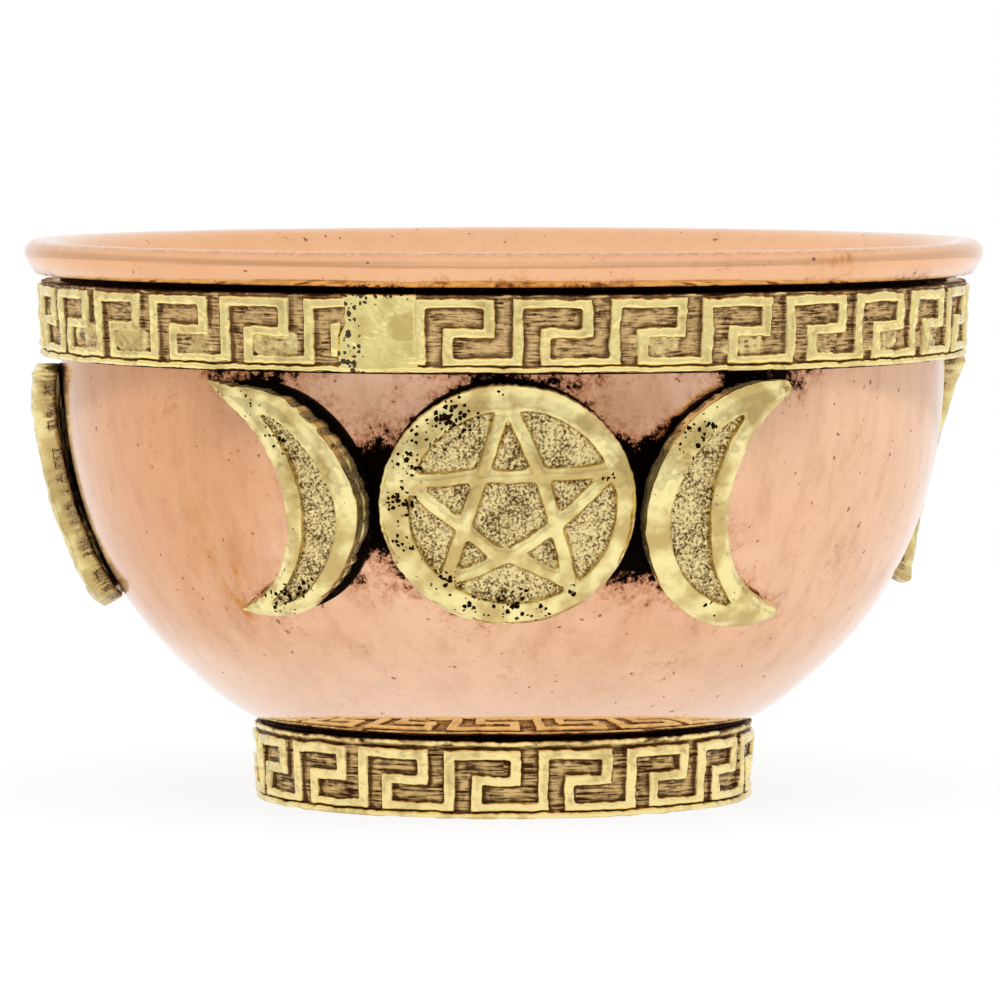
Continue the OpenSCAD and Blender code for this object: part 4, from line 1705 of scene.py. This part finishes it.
@dataclass
class Studio:
    """The pale floor, the soft light, the white surround and the camera.

    A lamp is a name, a place, the length of its side and its power in watts. Each side of the
    room that metals see dimmer is a direction, where its ease begins, and how much dimmer it is.
    """

    floor_radius: float = 0.34
    floor_white: float = 0.92
    floor_glow: float = 0.86
    camera_place: tuple = (-0.00028, -0.6159, 0.06103)
    camera_tilt: float = 86.52
    lens: float = 278.5
    sensor: float = 36.0
    target: tuple = (0.0, 0.0, 0.025)
    lamps: tuple = (
        ("overhead", (0.0, -0.15, 0.75), 0.5, 2.6),
        ("left_side", (-0.7, -0.35, 0.35), 0.35, 1.0),
        ("right_side", (0.7, -0.25, 0.4), 0.35, 1.4),
    )
    dim_sides: tuple = (
        ((-0.2, -0.98, 0), 0.1, 0.11), ((-1, 0.1, 0), 0.0, 0.24), ((1, 0.1, 0), 0.0, 0.22),
    )
    horizon: float = 0.08
    sky: float = -0.04
    table_dim: float = 0.42

    def floor(self) -> None:
        """Lay the floor: white to the camera and in reflections, with a soft shadow, except a ring in front
        of the bowl that glows dimmer in reflections, a painted shade that the metals mirror.
        """
        bpy.ops.mesh.primitive_circle_add(vertices=96, radius=self.floor_radius, fill_type="NGON")
        floor = bpy.context.object
        floor.name = "floor"
        finish, desk = new_finish("floor_white")
        path = desk.add("ShaderNodeLightPath").outputs
        seen = desk.most(path["Is Camera Ray"], path["Is Glossy Ray"])
        seen = desk.most(seen, path["Is Transmission Ray"])
        paint = desk.add("ShaderNodeBsdfDiffuse", {"Color": (*[self.floor_white] * 3, 1)})
        spot = desk.place()
        away = desk.add("ShaderNodeVectorMath", {0: spot}, operation="LENGTH").outputs["Value"]
        in_front = desk.span(desk.axes(spot)[1], 0.02, -0.12)
        dimmed = desk.times(desk.span(away, 0.075, 0.19), in_front)
        dim = desk.times(dimmed, path["Is Glossy Ray"])
        bright = desk.minus(1.0, desk.times(dim, self.table_dim))
        glow = desk.add("ShaderNodeEmission", {"Color": (1, 1, 1, 1), "Strength": bright})
        share = desk.times(seen, self.floor_glow)
        both = desk.add("ShaderNodeMixShader", {0: share, 1: paint.outputs[0], 2: glow.outputs[0]})
        desk.add("ShaderNodeOutputMaterial", {"Surface": both.outputs[0]})
        floor.data.materials.append(finish)

    def world(self) -> None:
        """Surround the scene with white, which metals see dimmer near the horizon."""
        world = bpy.data.worlds.new("studio")
        bpy.context.scene.world = world
        world.use_nodes = True
        desk = Desk(world.node_tree)
        path = desk.add("ShaderNodeLightPath").outputs
        way = desk.add("ShaderNodeTexCoord").outputs["Generated"]
        height = desk.axes(way)[2]
        level = desk.math("ABSOLUTE", desk.minus(height, self.horizon))
        total: Any = 0.0
        for direction, low, amount in self.dim_sides:
            facing = desk.add("ShaderNodeVectorMath", {0: way, 1: direction}, operation="DOT_PRODUCT")
            total = desk.plus(total, desk.times(desk.span(facing.outputs["Value"], low, 0.95), amount))
        dim = desk.times(desk.span(level, 0.10, 0.55, 1.0, 0.0), total)
        bright = desk.span(height, 0.55, 0.95, 1.0, 1.0 + self.sky)
        glossy = desk.blend(path["Is Glossy Ray"], 0.85, desk.minus(bright, dim))
        plain = desk.most(path["Is Camera Ray"], path["Is Transmission Ray"])
        strength = desk.blend(plain, glossy, 1.0)
        back = desk.add("ShaderNodeBackground", {"Color": (1, 1, 1, 1), "Strength": strength})
        desk.add("ShaderNodeOutputWorld", {"Surface": back.outputs[0]})

    def lights(self) -> None:
        """Hang square soft lights that metals don't mirror."""
        for name, place, size, watts in self.lamps:
            data = bpy.data.lights.new(name, "AREA")
            data.shape, data.size, data.energy = "SQUARE", size, watts
            lamp = bpy.data.objects.new(name, data)
            bpy.context.scene.collection.objects.link(lamp)
            lamp.location = place
            way = Vector(self.target) - Vector(place)
            lamp.rotation_euler = way.to_track_quat("-Z", "Y").to_euler()
            lamp.visible_glossy = False

    def camera(self) -> None:
        """Stand the camera where the photograph was taken."""
        data = bpy.data.cameras.new("camera")
        data.lens, data.sensor_width = self.lens, self.sensor
        data.clip_start = 0.01
        camera = bpy.data.objects.new("camera", data)
        bpy.context.scene.collection.objects.link(camera)
        camera.location = self.camera_place
        camera.rotation_euler = (math.radians(self.camera_tilt), 0, 0)
        bpy.context.scene.camera = camera

    def build(self) -> None:
        """Set up the whole studio."""
        self.floor()
        self.world()
        self.lights()
        self.camera()
        bpy.context.scene.view_settings.view_transform = "Standard"


def castings() -> list[Casting]:
    """List the nine castings: three groups of a disc between two crescents."""
    step = 32.72
    front_left = Crescent(
        "crescent_front_left", -32.0, convex=mm(-0.45, 0.24), convex_radius=9.05 * MM,
        hollow=mm(-6.49, 0.25), hollow_radius=9.55 * MM, horn_end=3.6 * MM,
        horn_pull=mm(-0.7, 0.95), nose=0.6 * MM, batter=0.6 * MM, marked=1.1,
        stroke_depth=0.3 * MM, convex_border=1.0 * MM, hollow_border=0.06 * MM,
        convex_slip=mm(-0.66, -0.21), hollow_slip=mm(1.34, 0.26), fade=(5.2, 7.6, -6.6, -7.8),
        pits=(
            (1.0, -7.3, 2.0, 0.55), (3.2, -6.6, 1.6, 0.4), (0.4, 8.2, 1.0, 0.5),
            (2.0, 6.9, 1.2, 0.55), (3.4, 5.7, 1.1, 0.5), (-2.2, 9.0, 0.9, 0.4), (4.5, 0, 4.0, 0.2),
        ),
    )
    front_right = Crescent(
        "crescent_front_right", 31.0, convex=mm(1.60, -0.04), convex_radius=9.8 * MM,
        hollow=mm(7.92, 0.55), hollow_radius=9.75 * MM, horn_end=2.5 * MM, horn_lean=0.106,
        nose=0.1 * MM, convex_border=1.75 * MM, hollow_border=1.55 * MM,
        pits=((-5.5, 5.5, 1.6, 0.6), (-4, 7, 1.2, 0.5), (-2, -8, 1.8, 0.5), (-3.5, 0, 4.0, 0.2)),
        crumples=((-6.0, 5.6, 1.2, 0.55), (2.6, 9.4, 0.9, 0.9)),
    )
    front_disc = PentacleDisc(
        "pentacle_front", 0.5, field_radius=7.9 * MM, field_shift=mm(0.35, 0.1),
        ridges=(
            ((-0.24, 8.4), (-1.37, 4.9), (-2.27, 2.2), (-2.93, 0.1), (-3.87, -2.7), (-4.8, -5.8)),
            ((0.17, 8.4), (1.44, 5.45), (2.42, 3.2), (3.5, -0.35), (4.2, -3.1), (4.8, -5.8)),
            ((-7.7, 2.4), (-4.7, 2.65), (-2.1, 3.0), (0.2, 2.9), (2.6, 3.05), (4.7, 3.1), (7.9, 3.3)),
            ((-7.5, 2.1), (-5.3, 0.25), (-3.4, -1.1), (-1.3, -2.9), (0.1, -3.4), (2.2, -4.35), (4.6, -5.7)),
            ((-4.7, -5.5), (-2.5, -4.7), (0.1, -3.4), (1.7, -2.4), (3.55, -1.0), (5.2, 0.45), (7.9, 3.0)),
        ),
        pits=(
            (-7.6, 4.0, 1.6, 0.6), (-6.0, 6.3, 1.6, 0.55), (-4.4, 8.0, 1.3, 0.55),
            (-3.0, 6.9, 2.1, 0.4), (-8.0, 0.6, 1.5, 0.75), (-7.6, -2.9, 1.5, 0.6),
            (-4.7, -5.4, 1.1, 0.6), (-2.4, -7.3, 1.8, 0.55), (0.3, -7.5, 1.4, 0.55),
            (2.3, -7.9, 1.3, 0.55), (4.8, -6.1, 1.0, 0.6), (7.9, 3.1, 0.8, 0.75),
            (-0.6, 9.2, 0.5, 0.6),
        ),
        crumples=((0.1, -0.3, 1.7, 1.0),),
    )
    made: list[Casting] = [front_left, front_disc, front_right]
    for side, at, turns, names in (
        ("left", -123.0, (-2, -4, 1.5), ("rear", "fore")),
        ("right", 134.2, (2.5, 2, -3), ("fore", "rear")),
    ):
        made.append(Crescent(
            f"crescent_{side}_{names[0]}", at - step, turns[0], horn_end=3.0 * MM,
            convex_radius=9.6 * MM, tilt=13.6,
        ))
        made.append(PentacleDisc(f"pentacle_{side}", at, turns[1], pits=((3, -6, 3, 0.4),)))
        made.append(Crescent(
            f"crescent_{side}_{names[1]}", at + step, turns[2], hollow=(6.5 * MM, 0.0),
            convex_radius=10.0 * MM, hollow_radius=9.8 * MM, horn_end=3.6 * MM, tilt=15.4,
            bow=0.7 * MM,
        ))
    return made


def main() -> None:
    """Build every piece, dress it and set the studio round it."""
    logging.basicConfig(level=logging.INFO, format="%(message)s")
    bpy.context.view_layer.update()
    effects = Effects()
    brass = CastBrass(
        "strip_brass", strokes=0.8, bright=linear(255, 234, 160), ground=linear(236, 198, 138),
        crease=0.8,
    ).build(effects)
    foot_brass = CastBrass(
        "foot_brass", strokes=0.92, stroke_width=0.22 * MM, ground=linear(230, 194, 130),
        dark=linear(64, 32, 8), flat=0.06, shift=-0.03,
    ).build(effects)
    figured = CastBrass(
        "figure_brass", strokes=0.0, bright=linear(255, 240, 172), ground=linear(250, 230, 168),
        dark=linear(104, 70, 28), pit_size=0.36 * MM, shift=-0.01, flat=0.04, crease=0.6,
    ).build(effects)
    copper = PolishedCopper().build()
    solder = SootyShadedSolder().build()
    braze = RunBraze().build(effects)

    filled = (
        (-51.2, 0.75), (-40.1, 0.5), (-28.1, 0.62), (-62.0, 0.5), (6.5, 0.3), (18.1, 0.46),
        (29.6, 0.42), (41.1, 0.4), (52.7, 0.5), (64.2, 0.42),
    )
    band = KeyStrip(
        "key_band", ledge=0.44 * MM, joint_at=-16.7, key_height=5.12 * MM, margin=0.8,
        floods=tuple((angle, *mm(2.1, 2.1, 1.0), level) for angle, level in filled),
        remnants=(mm(2.2, 2.9, 1.2, 3.7), mm(0.0, 3.4, 4.81, 5.56)),
    )
    hand_over(band.model(), "key_band_ring", brass, "key_band")
    foot = KeyStrip("foot_ring", ledge=0.45 * MM, joint_at=189, margin=0.6)
    hand_over(foot.model(), "foot_ring_cast", foot_brass, "foot_ring")
    front_joint = BrazeFlood(
        "key_band_braze", band, left=-2.4 * MM, right=4.45 * MM, facet=mm(1.1, 4.3, 2.0, 4.9)
    )
    back_joint = BrazeFlood("foot_ring_braze", foot, left=-2.2 * MM, right=2.2 * MM)
    for joint in (front_joint, back_joint):
        hand_over(joint.model(), joint.node + "_run", braze, joint.node)

    soldered = castings()
    for casting in soldered:
        hand_over(casting.model(), casting.node + "_cast", figured, casting.node)

    bowl = CopperBowl()
    shell = bowl.model()
    bowl.soil_and_shade(shell, soldered, band)
    hand_over(shell, "copper_bowl", copper, "bowl")

    seam = bowl.seam(foot.height, 18.2 * MM, 19.4 * MM)
    hand_over(seam, "foot_seam", solder, "foot_solder")
    # The castings' solder takes the same black, which also stands for the shade in the gaps under them.
    for name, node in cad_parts.items():
        if "solder" in name and name != "foot_solder":
            node.data.materials.clear()
            node.data.materials.append(solder)

    Studio().build()


if __name__ == "__main__":
    main()
